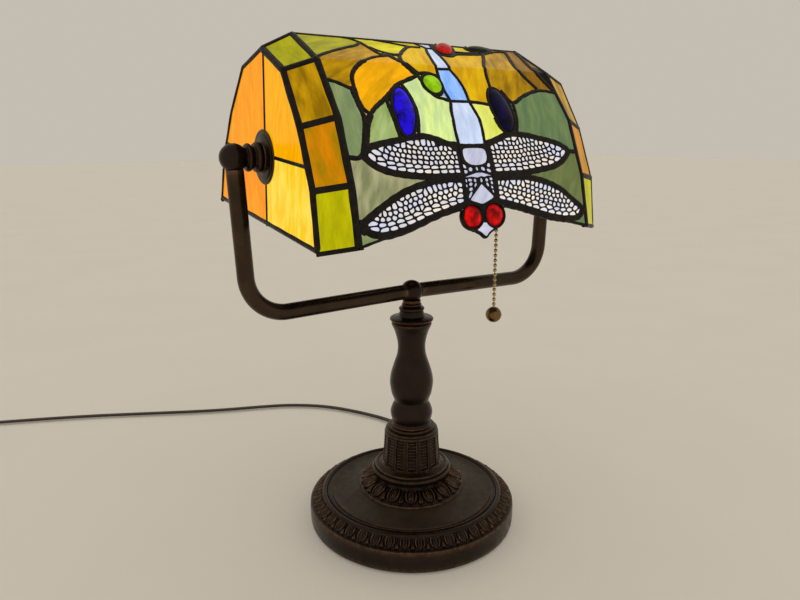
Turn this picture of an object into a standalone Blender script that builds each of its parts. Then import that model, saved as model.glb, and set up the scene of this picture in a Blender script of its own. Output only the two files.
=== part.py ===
"""Banker desk lamp with a leaded-glass barrel shade that tilts in a two-armed yoke.

Units are metres and +Z is up. The column stands on the Z axis with its felt on z = 0,
the two pivots lie on a line parallel to X, and the front of the shade faces -Y.
"""
import math

import bmesh
import bpy
from mathutils import Matrix, Vector

GAP = 0.0003                     # clearance left between touching pieces

# Driving heights and radii
PIVOT_Z = 0.3026                 # height of the tilt axis
BAR_Z = 0.1967                   # height of the yoke's bar at the hub
BASE_RADIUS = 0.0858
PLATE_Z = 0.0295                 # top of the base where the column foot stands
DISH_Z = 0.0505
SLEEVE_Z = 0.0838
FELT_THICKNESS = 0.0015

# Yoke
TUBE_RADIUS = 0.0059
TUBE_WALL = 0.0012
CORNER_X = 0.1339                # where the arm's line crosses the height of the hub
BEND_RADIUS = 0.029
BAR_DROOP = math.radians(1.0)
ARM_LEAN = math.radians(2.5)
BALL_RADIUS = 0.0093
HUB_RADIUS = 0.0089

# Shade: half sections of the barrel and of its smaller ends, as (half depth, height)
# from the apex down to the rim, measured from the pivot line
TILT = math.radians(6.4)
SHADE_SHIFT = 0.0053             # the barrel sits this far behind the pivot line
BARREL = [(0.0, 0.0790), (0.0383, 0.0641), (0.0686, 0.0318), (0.0886, -0.0055), (0.1003, -0.0401)]
END = [(0.0, 0.0687), (0.0344, 0.0564), (0.0599, 0.0249), (0.0790, -0.0101), (0.0877, -0.0454)]
BARREL_X = 0.0958                # half length of the barrel section
END_X = 0.1172                   # outer face of the end panels
GLASS = 0.003
CAME = 0.0020                    # radius of the thick came along the seams
MITRE = 0.0010                   # further trim where two panels lean towards each other
RIM = 0.0015                     # radius of the came round the lower edge
EYE = Vector((0.0093, 0.1515))   # middle of an eye gem, across and down the front
EYE_RADIUS = 0.0070
EYE_CAME = 0.0088                # middle line of the rim where it rounds an eye
CHIN = 0.1655                    # lowest point of the rim, below the eyes
SCALLOP_X = (0.0225, 0.0300, 0.0400, 0.0550, 0.0700, 0.0850)     # corners of the lower edge

# Electrics, as distances along X
STUD_RADIUS = 0.0040
STUD_BORE = 0.0026
SOCKET_CAP_TOP = 0.1065
SOCKET_SPLIT = 0.0880
SOCKET_MOUTH = 0.0480
SOCKET_RADIUS = 0.0168
CHAIN_X = 0.0710
CHAIN_LEAN = math.radians(35.0)  # the chain's guide leans this far forward of straight down
CHAIN_PITCH = 0.0041
CHAIN_BEAD = 0.0016
CHAIN_BEADS = 24
CHAIN_BALL = 0.0066

# Mains lead
CORD_RADIUS = 0.00275
CORD_EXIT_ANGLE = math.radians(50.0)     # from +X towards +Y
CORD_EXIT_Z = 0.0100
COIL_CENTRE = Vector((-0.3590, 0.3850, 0.0))
COIL_INNER = 0.0235
COIL_OUTER = 0.0415
COIL_BASE = 0.0014
COIL_HEIGHT = 0.0095
CORD_ROUTE = [
    (0.0736, 0.0878, 0.0100), (0.0779, 0.0929, 0.0098), (0.0814, 0.0992, 0.0076),
    (0.0838, 0.1075, 0.0048), (0.0852, 0.1175, 0.0031), (0.0858, 0.1290, 0.0028),
    (0.0858, 0.1410, 0.0028), (0.0845, 0.1545, 0.0028), (0.0812, 0.1690, 0.0028),
    (0.0758, 0.1835, 0.0028), (0.0684, 0.1990, 0.0028), (0.0588, 0.2160, 0.0028),
    (0.0478, 0.2325, 0.0028), (0.0345, 0.2480, 0.0028), (0.0180, 0.2620, 0.0028),
    (-0.0010, 0.2740, 0.0028), (-0.0225, 0.2838, 0.0028), (-0.0455, 0.2925, 0.0028),
    (-0.0700, 0.3020, 0.0028), (-0.1000, 0.3155, 0.0028), (-0.1320, 0.3315, 0.0028),
    (-0.1660, 0.3485, 0.0028), (-0.2000, 0.3650, 0.0028), (-0.2340, 0.3800, 0.0028),
    (-0.2670, 0.3935, 0.0028), (-0.2970, 0.4055, 0.0028), (-0.3180, 0.4150, 0.0028),
]

# Facets round turned pieces
FINE = 36
MEDIUM = 20
COARSE = 12


def clear_scene():
    for obj in list(bpy.data.objects):
        bpy.data.objects.remove(obj, do_unlink=True)
    for collection in list(bpy.data.collections):
        bpy.data.collections.remove(collection)


def new_collection(name):
    collection = bpy.data.collections.new(name)
    bpy.context.scene.collection.children.link(collection)
    return collection


clear_scene()
PARTS = new_collection("banker_desk_lamp")
CUTTERS = new_collection("cutters")


def material(name, colour, roughness, metallic=0.0):
    mat = bpy.data.materials.new(name)
    mat.use_nodes = True
    shader = mat.node_tree.nodes["Principled BSDF"]
    shader.inputs["Base Color"].default_value = (*colour, 1.0)
    shader.inputs["Roughness"].default_value = roughness
    shader.inputs["Metallic"].default_value = metallic
    mat.diffuse_color = (*colour, 1.0)
    return mat


BRONZE = material("bronze", (0.055, 0.035, 0.022), 0.42, 0.85)
LEAD = material("lead_came", (0.012, 0.010, 0.009), 0.45, 0.7)
IRON = material("cast_iron", (0.10, 0.10, 0.10), 0.8, 0.6)
STEEL = material("zinc_steel", (0.55, 0.55, 0.52), 0.35, 1.0)
BRASS = material("socket_brass", (0.72, 0.52, 0.22), 0.30, 1.0)
FELT = material("felt", (0.02, 0.05, 0.03), 0.95)
FRONT_GLASS = material("front_glass", (0.42, 0.56, 0.38), 0.25)
AMBER_GLASS = material("amber_glass", (0.95, 0.50, 0.06), 0.25)
BORDER_GLASS = material("border_glass", (0.55, 0.52, 0.08), 0.25)
RED_GLASS = material("red_glass", (0.70, 0.01, 0.02), 0.08)
BULB_GLASS = material("bulb_glass", (0.95, 0.93, 0.86), 0.20)
CORD_PLASTIC = material("cord_plastic", (0.030, 0.022, 0.018), 0.45)


def place(obj, mat, location=(0, 0, 0), rotation=(0, 0, 0), parent=None, collection=None):
    """Link an object, give it its material and put it in place."""
    (collection or PARTS).objects.link(obj)
    if mat is not None:
        obj.data.materials.append(mat)
    obj.location = location
    obj.rotation_euler = rotation
    obj.parent = parent
    return obj


def empty(name, location, rotation=(0, 0, 0)):
    """An empty on a joint's axis, which carries the pieces that move there."""
    axis = bpy.data.objects.new(name, None)
    axis.empty_display_size = 0.02
    axis.location = location
    axis.rotation_euler = rotation
    PARTS.objects.link(axis)
    return axis


SHADE_AXIS = empty("shade_axis", (0, 0, PIVOT_Z), (TILT, 0, 0))


def arc(cx, cz, radius, start, end, count):
    """Points of a round stretch, angles in degrees from the +r direction."""
    points = []
    for i in range(count + 1):
        angle = math.radians(start + (end - start) * i / count)
        points.append((cx + radius * math.cos(angle), cz + radius * math.sin(angle)))
    return points


def turned(name, profile, mat, steps=MEDIUM, ring=False, **where):
    """A turned solid. The profile (radius, height) runs top to bottom down its outer side."""
    edges = [(i, i + 1) for i in range(len(profile) - 1)]
    if ring:
        edges.append((len(profile) - 1, 0))
    mesh = bpy.data.meshes.new(name)
    mesh.from_pydata([(r, 0.0, z) for r, z in profile], edges, [])
    obj = place(bpy.data.objects.new(name, mesh), mat, **where)
    screw = obj.modifiers.new("turn", "SCREW")
    screw.axis = "Z"
    screw.angle = 2 * math.pi
    screw.steps = steps
    screw.render_steps = steps
    screw.use_merge_vertices = True
    screw.merge_threshold = 0.00001
    return obj


def tube(name, points, radius, mat, resolution=1, cyclic=False, caps=True, **where):
    """A round bar or wire along a list of points."""
    curve = bpy.data.curves.new(name, "CURVE")
    curve.dimensions = "3D"
    curve.bevel_depth = radius
    curve.bevel_resolution = resolution
    curve.use_fill_caps = caps and not cyclic
    spline = curve.splines.new("POLY")
    spline.points.add(len(points) - 1)
    for target, point in zip(spline.points, points):
        target.co = (*point, 1.0)
    spline.use_cyclic_u = cyclic
    return place(bpy.data.objects.new(name, curve), mat, **where)


def flat_plate(name, outlines, thickness, mat, **where):
    """A flat plate from closed outlines in its own XY plane; inner outlines are holes."""
    curve = bpy.data.curves.new(name, "CURVE")
    curve.dimensions = "2D"
    curve.fill_mode = "BOTH"
    curve.extrude = thickness / 2
    for outline in outlines:
        spline = curve.splines.new("POLY")
        spline.points.add(len(outline) - 1)
        for target, (x, y) in zip(spline.points, outline):
            target.co = (x, y, 0.0, 1.0)
        spline.use_cyclic_u = True
    return place(bpy.data.objects.new(name, curve), mat, **where)


def blade(name, size, mat, **where):
    """A flat blade with slightly rounded edges."""
    mesh = bpy.data.meshes.new(name)
    work = bmesh.new()
    bmesh.ops.create_cube(work, size=1.0)
    bmesh.ops.scale(work, vec=size, verts=work.verts)
    work.to_mesh(mesh)
    work.free()
    obj = place(bpy.data.objects.new(name, mesh), mat, **where)
    rounding = obj.modifiers.new("rounding", "BEVEL")
    rounding.width = 0.0003
    rounding.segments = 1
    return obj


def rod_cutter(name, radius, depth, location, rotation):
    """A round cutter whose middle is at the given place."""
    mesh = bpy.data.meshes.new(name)
    work = bmesh.new()
    bmesh.ops.create_cone(
        work, cap_ends=True, segments=COARSE, radius1=radius, radius2=radius, depth=depth)
    work.to_mesh(mesh)
    work.free()
    cutter = place(
        bpy.data.objects.new(name, mesh), None, location=location, rotation=rotation,
        collection=CUTTERS)
    cutter.hide_render = True
    cutter.display_type = "WIRE"
    return cutter


def cut(obj, cutter):
    boolean = obj.modifiers.new("cut", "BOOLEAN")
    boolean.operation = "DIFFERENCE"
    boolean.object = cutter


def sheet(name, rows, mat, thickness=GLASS, **where):
    """A glass panel: rows of points across its outer face, thickened inwards."""
    width = len(rows[0])
    verts = [point for row in rows for point in row]
    faces = []
    for i in range(len(rows) - 1):
        for j in range(width - 1):
            first = i * width + j
            faces.append((first, first + 1, first + width + 1, first + width))
    mesh = bpy.data.meshes.new(name)
    mesh.from_pydata(verts, [], faces)
    obj = place(bpy.data.objects.new(name, mesh), mat, **where)
    solid = obj.modifiers.new("thickness", "SOLIDIFY")
    solid.thickness = thickness
    solid.offset = -1.0
    solid.use_even_offset = True
    return obj


def hex_nut(name, across_flats, bore, thickness, **where):
    """A hexagon nut with a round bore, centred on its origin."""
    hexagon = [(across_flats / math.sqrt(3) * math.cos(math.radians(60 * i)),
                across_flats / math.sqrt(3) * math.sin(math.radians(60 * i))) for i in range(6)]
    return flat_plate(name, [hexagon, ring_outline(bore)], thickness, STEEL, **where)


def ring_outline(radius):
    return [(radius * math.cos(math.radians(360 * i / COARSE)),
             radius * math.sin(math.radians(360 * i / COARSE))) for i in range(COARSE)]


def smooth_route(route, spacing):
    """Points about one spacing apart on a Catmull-Rom curve; its first leg stays straight."""
    knots = [Vector(p) for p in route]
    knots = [2 * knots[0] - knots[1]] + knots + [2 * knots[-1] - knots[-2]]
    fine = []
    for a, b, c, d in zip(knots, knots[1:], knots[2:], knots[3:]):
        for step in range(8):
            t = step / 8
            point = 0.5 * (2 * b + (c - a) * t + (2 * a - 5 * b + 4 * c - d) * t ** 2
                           + (3 * b - a - 3 * c + d) * t ** 3)
            fine.append(point)
    fine.append(knots[-2])
    chosen = [fine[0], fine[8]]
    travelled = 0.0
    for before, after in zip(fine[8:], fine[9:]):
        travelled += (after - before).length
        if travelled >= spacing:
            chosen.append(after)
            travelled = 0.0
    if travelled > 0.4 * spacing:
        chosen.append(fine[-1])
    else:
        chosen[-1] = fine[-1]
    return chosen


# ---------------------------------------------------------------- base and column

def base_casting():
    """Foot: upright wall, leaf-band shoulder, broad ring, lipped and dished plate, hollow below."""
    under = PLATE_Z - 0.0033
    foot = FELT_THICKNESS + GAP
    profile = [(0.0052, PLATE_Z), (0.0440, PLATE_Z), (0.0520, 0.0277), (0.0600, 0.0268)]
    profile += [(0.0645, 0.0270), (0.0672, 0.0276), (0.0678, 0.0261), (0.0692, 0.0256)]
    profile.append((0.0708, 0.0257))
    profile += arc(0.0734, 0.0249, 0.0025, 150, 0, 4)
    profile += [(0.0760, 0.0246), (0.0828, 0.0197), (0.0850, 0.0192)]
    profile += [(0.0857, 0.0180), (BASE_RADIUS, 0.0100)]
    profile += [(0.0854, 0.0032), (0.0842, foot)]
    profile += [(0.0805, foot), (0.0805, 0.0150), (0.0700, under - 0.0030), (0.0160, under)]
    profile.append((0.0052, under))
    casting = turned("base_casting", profile, BRONZE, FINE, ring=True)
    out = Vector((math.cos(CORD_EXIT_ANGLE), math.sin(CORD_EXIT_ANGLE), 0))
    middle = out * (BASE_RADIUS - 0.002) + Vector((0, 0, CORD_EXIT_Z))
    cut(casting, rod_cutter("cord_hole", 0.0045, 0.016, middle,
                            (math.pi / 2, 0, CORD_EXIT_ANGLE + math.pi / 2)))


def base_inside():
    """Felt, iron weight, and the washer and nut that clamp the column's rod."""
    turned("felt_pad", [(0, FELT_THICKNESS), (0.0825, FELT_THICKNESS), (0.0825, 0), (0, 0)],
           FELT, 32)
    low = FELT_THICKNESS + GAP
    turned("base_weight", [(0.0140, 0.0150), (0.0650, 0.0150), (0.0650, low), (0.0140, low)],
           IRON, MEDIUM, ring=True)
    top = PLATE_Z - 0.0033 - GAP
    turned("rod_washer", [(0.0052, top), (0.0130, top), (0.0130, top - 0.0015),
                          (0.0052, top - 0.0015)], STEEL, COARSE, ring=True)
    nut_top = top - 0.0015 - GAP
    hex_nut("rod_nut", 0.0160, 0.0053, 0.0055, location=(0, 0, nut_top - 0.00275))


def leaf_collar():
    """Cast collar on the plate: leaf ring, cove, and the two rings of its dish."""
    low = PLATE_Z + GAP
    profile = [(0.0052, DISH_Z), (0.0250, DISH_Z), (0.0272, 0.0493)]
    profile += arc(0.0293, 0.0483, 0.0012, 150, 0, 3)
    profile += arc(0.0308, 0.0451, 0.0019, 70, -80, 3)
    profile += [(0.0292, 0.0412), (0.0300, 0.0378), (0.0345, 0.0368), (0.0412, 0.0330)]
    profile += [(0.0440, 0.0312), (0.0440, low)]
    profile += [(0.0400, low), (0.0270, 0.0345), (0.0250, 0.0460), (0.0052, 0.0460)]
    turned("leaf_collar", profile, BRONZE, MEDIUM, ring=True)


def fluted_collar():
    """Tapered sleeve under the vase, with two small bead rings on its shoulder."""
    low = DISH_Z + GAP
    profile = [(0.0052, SLEEVE_Z), (0.0170, SLEEVE_Z)]
    profile += arc(0.0180, 0.0826, 0.0011, 80, -40, 2)
    profile += arc(0.0204, 0.0797, 0.0013, 100, -20, 3)
    profile += [(0.0224, 0.0780), (0.0226, 0.0708), (0.0236, 0.0572), (0.0240, low)]
    profile += [(0.0212, low), (0.0198, 0.0765), (0.0160, 0.0795), (0.0052, 0.0795)]
    turned("fluted_collar", profile, BRONZE, MEDIUM, ring=True)


def column_vase():
    """The hollow vase with its long neck, belly and lower bulge."""
    low = SLEEVE_Z + GAP
    profile = [(0.0052, 0.1722), (0.0150, 0.1722), (0.0162, 0.1700), (0.0137, 0.1640)]
    profile += [(0.0116, 0.1570), (0.0112, 0.1510), (0.0119, 0.1445), (0.0144, 0.1370)]
    profile += [(0.0168, 0.1285), (0.0177, 0.1210), (0.0166, 0.1125), (0.0146, 0.1065)]
    profile += [(0.0141, 0.1042), (0.0160, 0.1000), (0.0173, 0.0955), (0.0168, 0.0910)]
    profile += [(0.0155, 0.0868), (0.0165, low)]
    profile += [(0.0130, low), (0.0118, 0.1000), (0.0112, 0.1050), (0.0140, 0.1215)]
    profile += [(0.0122, 0.1370), (0.0082, 0.1500), (0.0086, 0.1580), (0.0122, 0.1690)]
    profile.append((0.0052, 0.1695))
    turned("column_vase", profile, BRONZE, MEDIUM, ring=True)


def column_cap():
    """Wide flange over the vase and the ringed neck that carries the hub."""
    low = 0.1722 + GAP
    profile = [(0.0052, BAR_Z - 0.0068), (0.0064, BAR_Z - 0.0068), (0.0067, 0.1878)]
    profile += arc(0.0062, 0.1858, 0.0014, 80, -60, 2)
    profile += arc(0.0086, 0.1826, 0.0015, 80, -60, 2)
    profile += [(0.0100, 0.1790), (0.0102, 0.1768), (0.0160, 0.1756)]
    profile += arc(0.0162, 0.1742, 0.0012, 80, -80, 2)
    profile += [(0.0158, low), (0.0052, low)]
    turned("column_cap", profile, BRONZE, MEDIUM, ring=True)


def hub_ball():
    """Ball that joins the two halves of the yoke, with a flat seat for each."""
    seat = 0.0066
    rim = math.degrees(math.acos(seat / HUB_RADIUS))
    profile = arc(0, 0, HUB_RADIUS, 90 - rim, rim - 90, 6)
    profile = [(0, seat)] + profile + [(0, -seat)]
    hub = turned("hub_ball", profile, BRONZE, COARSE, location=(0, 0, BAR_Z),
                 rotation=(0, math.pi / 2, 0))
    cut(hub, rod_cutter("hub_seat", 0.0071, 0.0060, (0, 0, BAR_Z - 0.0065 - 0.0030), (0, 0, 0)))


def column_rod():
    """Threaded pipe that runs from the nut under the base up to the hub."""
    top = BAR_Z - 0.0068
    bottom = 0.0180
    profile = [(0.0030, top), (0.0049, top), (0.0049, bottom), (0.0030, bottom)]
    turned("column_rod", profile, STEEL, COARSE, ring=True)


def strain_relief():
    """Tapered rubber gland where the lead leaves the back of the base."""
    start = BASE_RADIUS - 0.0060
    flange = BASE_RADIUS + 0.0006
    profile = [(0, 0.1142), (0.0032, 0.1142), (0.0036, 0.1120), (0.0052, 0.0950)]
    profile += [(0.0064, flange + 0.0022), (0.0064, flange), (0.0041, flange)]
    profile += [(0.0041, start), (0, start)]
    turned("strain_relief", profile, CORD_PLASTIC, COARSE, location=(0, 0, CORD_EXIT_Z),
           rotation=(0, math.pi / 2, CORD_EXIT_ANGLE))


# ---------------------------------------------------------------- yoke

def arm_point(height):
    """Distance from the middle of the lamp to an arm's centre line at a height."""
    return CORNER_X + (height - BAR_Z) * math.tan(ARM_LEAN)


BALL_X = arm_point(PIVOT_Z)


def yoke_path():
    """Centre line of the right half of the yoke, from the hub to its ball."""
    bar = Vector((math.cos(BAR_DROOP), 0, -math.sin(BAR_DROOP)))
    arm = Vector((math.sin(ARM_LEAN), 0, math.cos(ARM_LEAN)))
    start = Vector((0.0066 + GAP, 0, BAR_Z))
    end = Vector((BALL_X, 0, PIVOT_Z)) - arm * (0.0074 + GAP)
    reach = (CORNER_X - start.x) / math.cos(BAR_DROOP)
    corner = start + bar * reach
    corner.x = arm_point(corner.z)
    turn = bar.angle(arm)
    setback = BEND_RADIUS * math.tan(turn / 2)
    centre = corner - bar * setback + BEND_RADIUS * Vector((math.sin(BAR_DROOP), 0,
                                                            math.cos(BAR_DROOP)))
    spoke = corner - bar * setback - centre
    points = [start]
    bends = 8
    for i in range(bends + 1):
        turned_spoke = Matrix.Rotation(-turn * i / bends, 3, "Y") @ spoke
        points.append(centre + turned_spoke)
    points.append(end)
    return points


def yoke_tubes():
    path = yoke_path()
    for side, name in ((-1, "yoke_tube_left"), (1, "yoke_tube_right")):
        points = [Vector((side * p.x, p.y, p.z)) for p in path]
        bar = tube(name, points, TUBE_RADIUS, BRONZE, resolution=3, caps=False)
        wall = bar.modifiers.new("wall", "SOLIDIFY")
        wall.thickness = TUBE_WALL
        wall.offset = -1.0


def sides():
    """The two ends of the tilt axis: a name, a sign and the turn that points Z outwards."""
    return (("left", -1, (0, -math.pi / 2, 0)), ("right", 1, (0, math.pi / 2, 0)))


def arm_balls():
    """Ball on top of each arm, drilled from its inner side for the pivot stud."""
    seat = 0.0071
    rim = math.degrees(math.asin(seat / BALL_RADIUS))
    profile = arc(0, 0, BALL_RADIUS, 90, -rim, 9)
    profile += [(STUD_RADIUS + GAP, -seat), (STUD_RADIUS + GAP, 0.0020), (0, 0.0020)]
    arm = Vector((math.sin(ARM_LEAN), 0, math.cos(ARM_LEAN)))
    for name, side, turn in sides():
        centre = Vector((side * BALL_X, 0, PIVOT_Z))
        ball = turned("arm_ball_" + name, profile, BRONZE, COARSE, location=centre,
                      rotation=turn)
        down = Vector((side * arm.x, 0, arm.z)) * -(0.0074 + 0.0040)
        cut(ball, rod_cutter("arm_seat_" + name, 0.0063, 0.0080, centre + down,
                             (0, side * ARM_LEAN, 0)))


def pivot_collars():
    """Ringed spacers between the balls and the shade."""
    outer = BALL_X - 0.0071 - GAP
    inner = 0.1198 + GAP
    bore = STUD_RADIUS + GAP
    profile = [(bore, outer), (0.0074, outer)]
    profile += arc(0.0074, 0.1290, 0.0018, 70, -70, 3)
    profile += [(0.0074, 0.1262), (0.0076, 0.1250)]
    profile += arc(0.0076, 0.1228, 0.0022, 60, -60, 3)
    profile += [(0.0106, 0.1208), (0.0106, inner), (bore, inner)]
    for name, side, turn in sides():
        turned("pivot_collar_" + name, profile, BRONZE, MEDIUM, ring=True,
               location=(0, 0, PIVOT_Z), rotation=turn)


def pivot_fasteners():
    """Threaded stud through each end panel, with its spring washer and lock nut."""
    bore = STUD_RADIUS + GAP
    inside = END_X - GLASS
    washer = inside - GAP
    nut = washer - 0.0014 - GAP
    inner_ends = {"left": 0.1040, "right": 0.0985}
    for name, side, turn in sides():
        where = {"location": (0, 0, PIVOT_Z), "rotation": turn}
        end = BALL_X + 0.0015
        start = inner_ends[name]
        turned("pivot_stud_" + name, [(STUD_BORE, end), (STUD_RADIUS, end),
                                      (STUD_RADIUS, start), (STUD_BORE, start)],
               STEEL, COARSE, ring=True, **where)
        turned("spring_washer_" + name, [(bore, washer), (0.0095, washer),
                                         (0.0095, washer - 0.0014), (bore, washer - 0.0014)],
               STEEL, COARSE, ring=True, **where)
        hex_nut("lock_nut_" + name, 0.0130, bore, 0.0045, rotation=turn,
                location=(side * (nut - 0.00225), 0, PIVOT_Z))


# ---------------------------------------------------------------- shade

def down_section(section, distance):
    """Point (y, z) on the front of a section, a distance down from its apex."""
    for (y0, z0), (y1, z1) in zip(section, section[1:]):
        length = math.hypot(y1 - y0, z1 - z0)
        if distance <= length or (y1, z1) == section[-1]:
            share = distance / length
            return -(y0 + (y1 - y0) * share), z0 + (z1 - z0) * share
        distance -= length


def front_point(x, distance, depth=0.0, side=-1):
    """Point on the barrel, in the shade's frame, a depth below its surface; side 1 is the back."""
    y, z = down_section(BARREL, distance)
    ahead_y, ahead_z = down_section(BARREL, distance + 0.0005)
    run = math.hypot(ahead_y - y, ahead_z - z)
    inward_y = -(ahead_z - z) / run
    inward_z = (ahead_y - y) / run
    return Vector((x, -side * (y + inward_y * depth) + SHADE_SHIFT, z + inward_z * depth))


def section_length(section, corners):
    """Distance from the apex down to a corner of a section."""
    total = 0.0
    for (y0, z0), (y1, z1) in zip(section[:corners], section[1:corners + 1]):
        total += math.hypot(y1 - y0, z1 - z0)
    return total


RIM_S = section_length(BARREL, 4)


def lower_edge(x):
    """How far down the front the scalloped lower edge lies, away from the eyes."""
    across = (abs(x) - 0.022) / (BARREL_X - 0.022)
    return 0.1455 + (RIM_S - 0.1455) * max(across, 0.0) ** 0.9


def corner(section, index, side, x, depth=0.0):
    """Corner of a section in the shade's frame, moved in square to the faces beside it."""
    half, height = section[index]
    normal = Vector((0.0, 0.0))
    for (y0, z0), (y1, z1) in zip(section, section[1:]):
        if (half, height) in ((y0, z0), (y1, z1)):
            normal += Vector((z0 - z1, y1 - y0)).normalized()
    if index == 0:
        normal = Vector((0.0, 1.0))
    normal.normalize()
    return Vector((x, side * (half - normal.x * depth) + SHADE_SHIFT, height - normal.y * depth))


def front_glass():
    """Front panel, cut away over the eyes and scalloped along its lower edge."""
    edge = BARREL_X - CAME - GAP
    clear = RIM + 2 * GAP
    half = [0.0, 0.0178, 0.0182, *SCALLOP_X, edge]
    across = [-x for x in reversed(half[1:])] + half
    levels = [CAME + GAP] + [section_length(BARREL, i) for i in (1, 2, 3)]
    rows = [[front_point(x, level) for x in across] for level in levels]
    bottom = []
    for x in across:
        level = 0.1420 if abs(x) < 0.018 else lower_edge(x) - clear
        bottom.append(front_point(x, level))
    rows.append(bottom)
    sheet("front_glass", [list(reversed(row)) for row in rows], FRONT_GLASS,
          parent=SHADE_AXIS)


def back_glass():
    edge = BARREL_X - CAME - GAP
    levels = [CAME + GAP] + [section_length(BARREL, i) for i in (1, 2, 3)]
    levels.append(RIM_S - RIM - GAP)
    rows = [[front_point(x, level, side=1) for x in (-edge, edge)] for level in levels]
    sheet("back_glass", rows, FRONT_GLASS, parent=SHADE_AXIS)


def border_corners():
    """Corner pairs of the borders from the front rim over the apex to the back rim."""
    order = [(i, -1) for i in (4, 3, 2, 1, 0)] + [(i, 1) for i in (1, 2, 3, 4)]
    return [(corner(BARREL, i, side, BARREL_X), corner(END, i, side, END_X))
            for i, side in order]


def border_glass():
    """Slanted border between the barrel and each end, folded at every corner."""
    clear = CAME + GAP + MITRE
    pairs = border_corners()
    lift = RIM + GAP
    for end, inner in ((0, 1), (-1, -2)):
        pairs[end] = tuple(a + (b - a).normalized() * lift
                           for a, b in zip(pairs[end], pairs[inner]))
    rows = []
    for barrel, tip in pairs:
        along = (tip - barrel).normalized() * clear
        rows.append([barrel + along, tip - along])
    for name, side, _ in sides():
        mirrored = [[Vector((side * p.x, p.y, p.z)) for p in row] for row in rows]
        if side > 0:
            mirrored = [list(reversed(row)) for row in mirrored]
        sheet("border_glass_" + name, mirrored, BORDER_GLASS, parent=SHADE_AXIS)


def end_outline(inset):
    """Outline of an end panel as (y, z), moved in from the end section's corners."""
    order = [(i, -1) for i in (4, 3, 2, 1, 0)] + [(i, 1) for i in (1, 2, 3, 4)]
    points = [corner(END, i, side, 0.0) for i, side in order]
    corners = [Vector((p.y, p.z)) for p in points]
    outline = []
    count = len(corners)
    for i, here in enumerate(corners):
        into = (here - corners[i - 1]).normalized()
        out = (corners[(i + 1) % count] - here).normalized()
        normal_in = Vector((into.y, -into.x))
        normal_out = Vector((out.y, -out.x))
        bisector = (normal_in + normal_out).normalized()
        outline.append(here + bisector * inset / bisector.dot(normal_in))
    return outline


def end_glass():
    """Flat amber end panels with a round hole for the pivot stud."""
    outline = end_outline(CAME + GAP + MITRE)
    for name, side, _ in sides():
        outlines = [[(p.x, p.y) for p in outline], ring_outline(0.0046)]
        flat_plate("end_glass_" + name, outlines, GLASS, AMBER_GLASS,
                   location=(side * (END_X - GLASS / 2), 0, 0),
                   rotation=(math.pi / 2, 0, math.pi / 2), parent=SHADE_AXIS)


def escutcheons():
    """Stepped bronze plate on the outside of each end panel, round the stud."""
    bore = STUD_RADIUS + GAP
    low = END_X + GAP
    profile = [(bore, 0.1198), (0.0112, 0.1198), (0.0150, 0.1192), (0.0176, 0.1184)]
    profile += [(0.0180, 0.1179), (0.0180, low), (bore, low)]
    for name, side, turn in sides():
        turned("escutcheon_" + name, profile, BRONZE, MEDIUM, ring=True,
               rotation=turn, parent=SHADE_AXIS)


def came():
    """Thick leads along the seams: ridge, barrel edges and end panels."""
    ridge_end = BARREL_X - CAME - 2 * GAP - 0.0020
    depth = GLASS / 2
    top = front_point(0.0, 0.0).z - depth
    tube("came_ridge", [(-ridge_end, SHADE_SHIFT, top), (ridge_end, SHADE_SHIFT, top)],
         CAME - GAP, LEAD, parent=SHADE_AXIS)
    order = [(i, -1) for i in (4, 3, 2, 1, 0)] + [(i, 1) for i in (1, 2, 3, 4)]
    loop = end_outline(MITRE)
    for name, side, _ in sides():
        seam = [corner(BARREL, i, s, side * BARREL_X, depth) for i, s in order]
        for end, inner in ((0, 1), (-1, -2)):
            seam[end] += (seam[inner] - seam[end]).normalized() * (RIM + CAME + GAP)
        tube("came_seam_" + name, seam, CAME - GAP, LEAD, resolution=1, parent=SHADE_AXIS)
        tube("came_end_" + name, [(side * (END_X - depth), p.x, p.y) for p in loop],
             CAME - GAP, LEAD, resolution=1, cyclic=True, parent=SHADE_AXIS)


def eye_outline():
    """Half of the rim's loop round an eye and down to the chin, from the outside in."""
    points = []
    for degrees in (150, 178, 206, 234):
        angle = math.radians(degrees)
        points.append((-EYE.x + EYE_CAME * math.cos(angle), EYE.y - EYE_CAME * math.sin(angle)))
    points.append((-0.0045, CHIN - 0.0032))
    return points


def rims():
    """Lead round the lower edge, front and back, from one end panel to the other."""
    depth = GLASS / 2
    short = CAME + RIM + GAP
    left = []
    tip = corner(END, 4, -1, -END_X, depth)
    edge = corner(BARREL, 4, -1, -BARREL_X, depth)
    left.append(tip + (edge - tip).normalized() * short)
    left.append(edge)
    for x in [-x for x in reversed(SCALLOP_X)]:
        left.append(front_point(x, lower_edge(x), depth))
    for x, down in eye_outline():
        left.append(front_point(x, down, depth))
    right = [Vector((-p.x, p.y, p.z)) for p in reversed(left)]
    tube("rim_front", left + [front_point(0.0, CHIN, depth)] + right, RIM, LEAD,
         parent=SHADE_AXIS)
    back_tip = corner(END, 4, 1, -END_X, depth)
    back_edge = corner(BARREL, 4, 1, -BARREL_X, depth)
    back = [back_tip + (back_edge - back_tip).normalized() * short, back_edge]
    back += [Vector((-p.x, p.y, p.z)) for p in reversed(back)]
    tube("rim_back", back, RIM, LEAD, parent=SHADE_AXIS)


def on_front(x, distance, lift):
    """Frame on the front surface: X across, Y up the panel, Z out of it."""
    origin = front_point(x, distance, -lift)
    lower = front_point(x, distance + 0.001, -lift)
    up = (origin - lower).normalized()
    across = Vector((1, 0, 0))
    out = across.cross(up)
    frame = Matrix((across, up, out)).transposed().to_4x4()
    frame.translation = origin
    return frame


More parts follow.
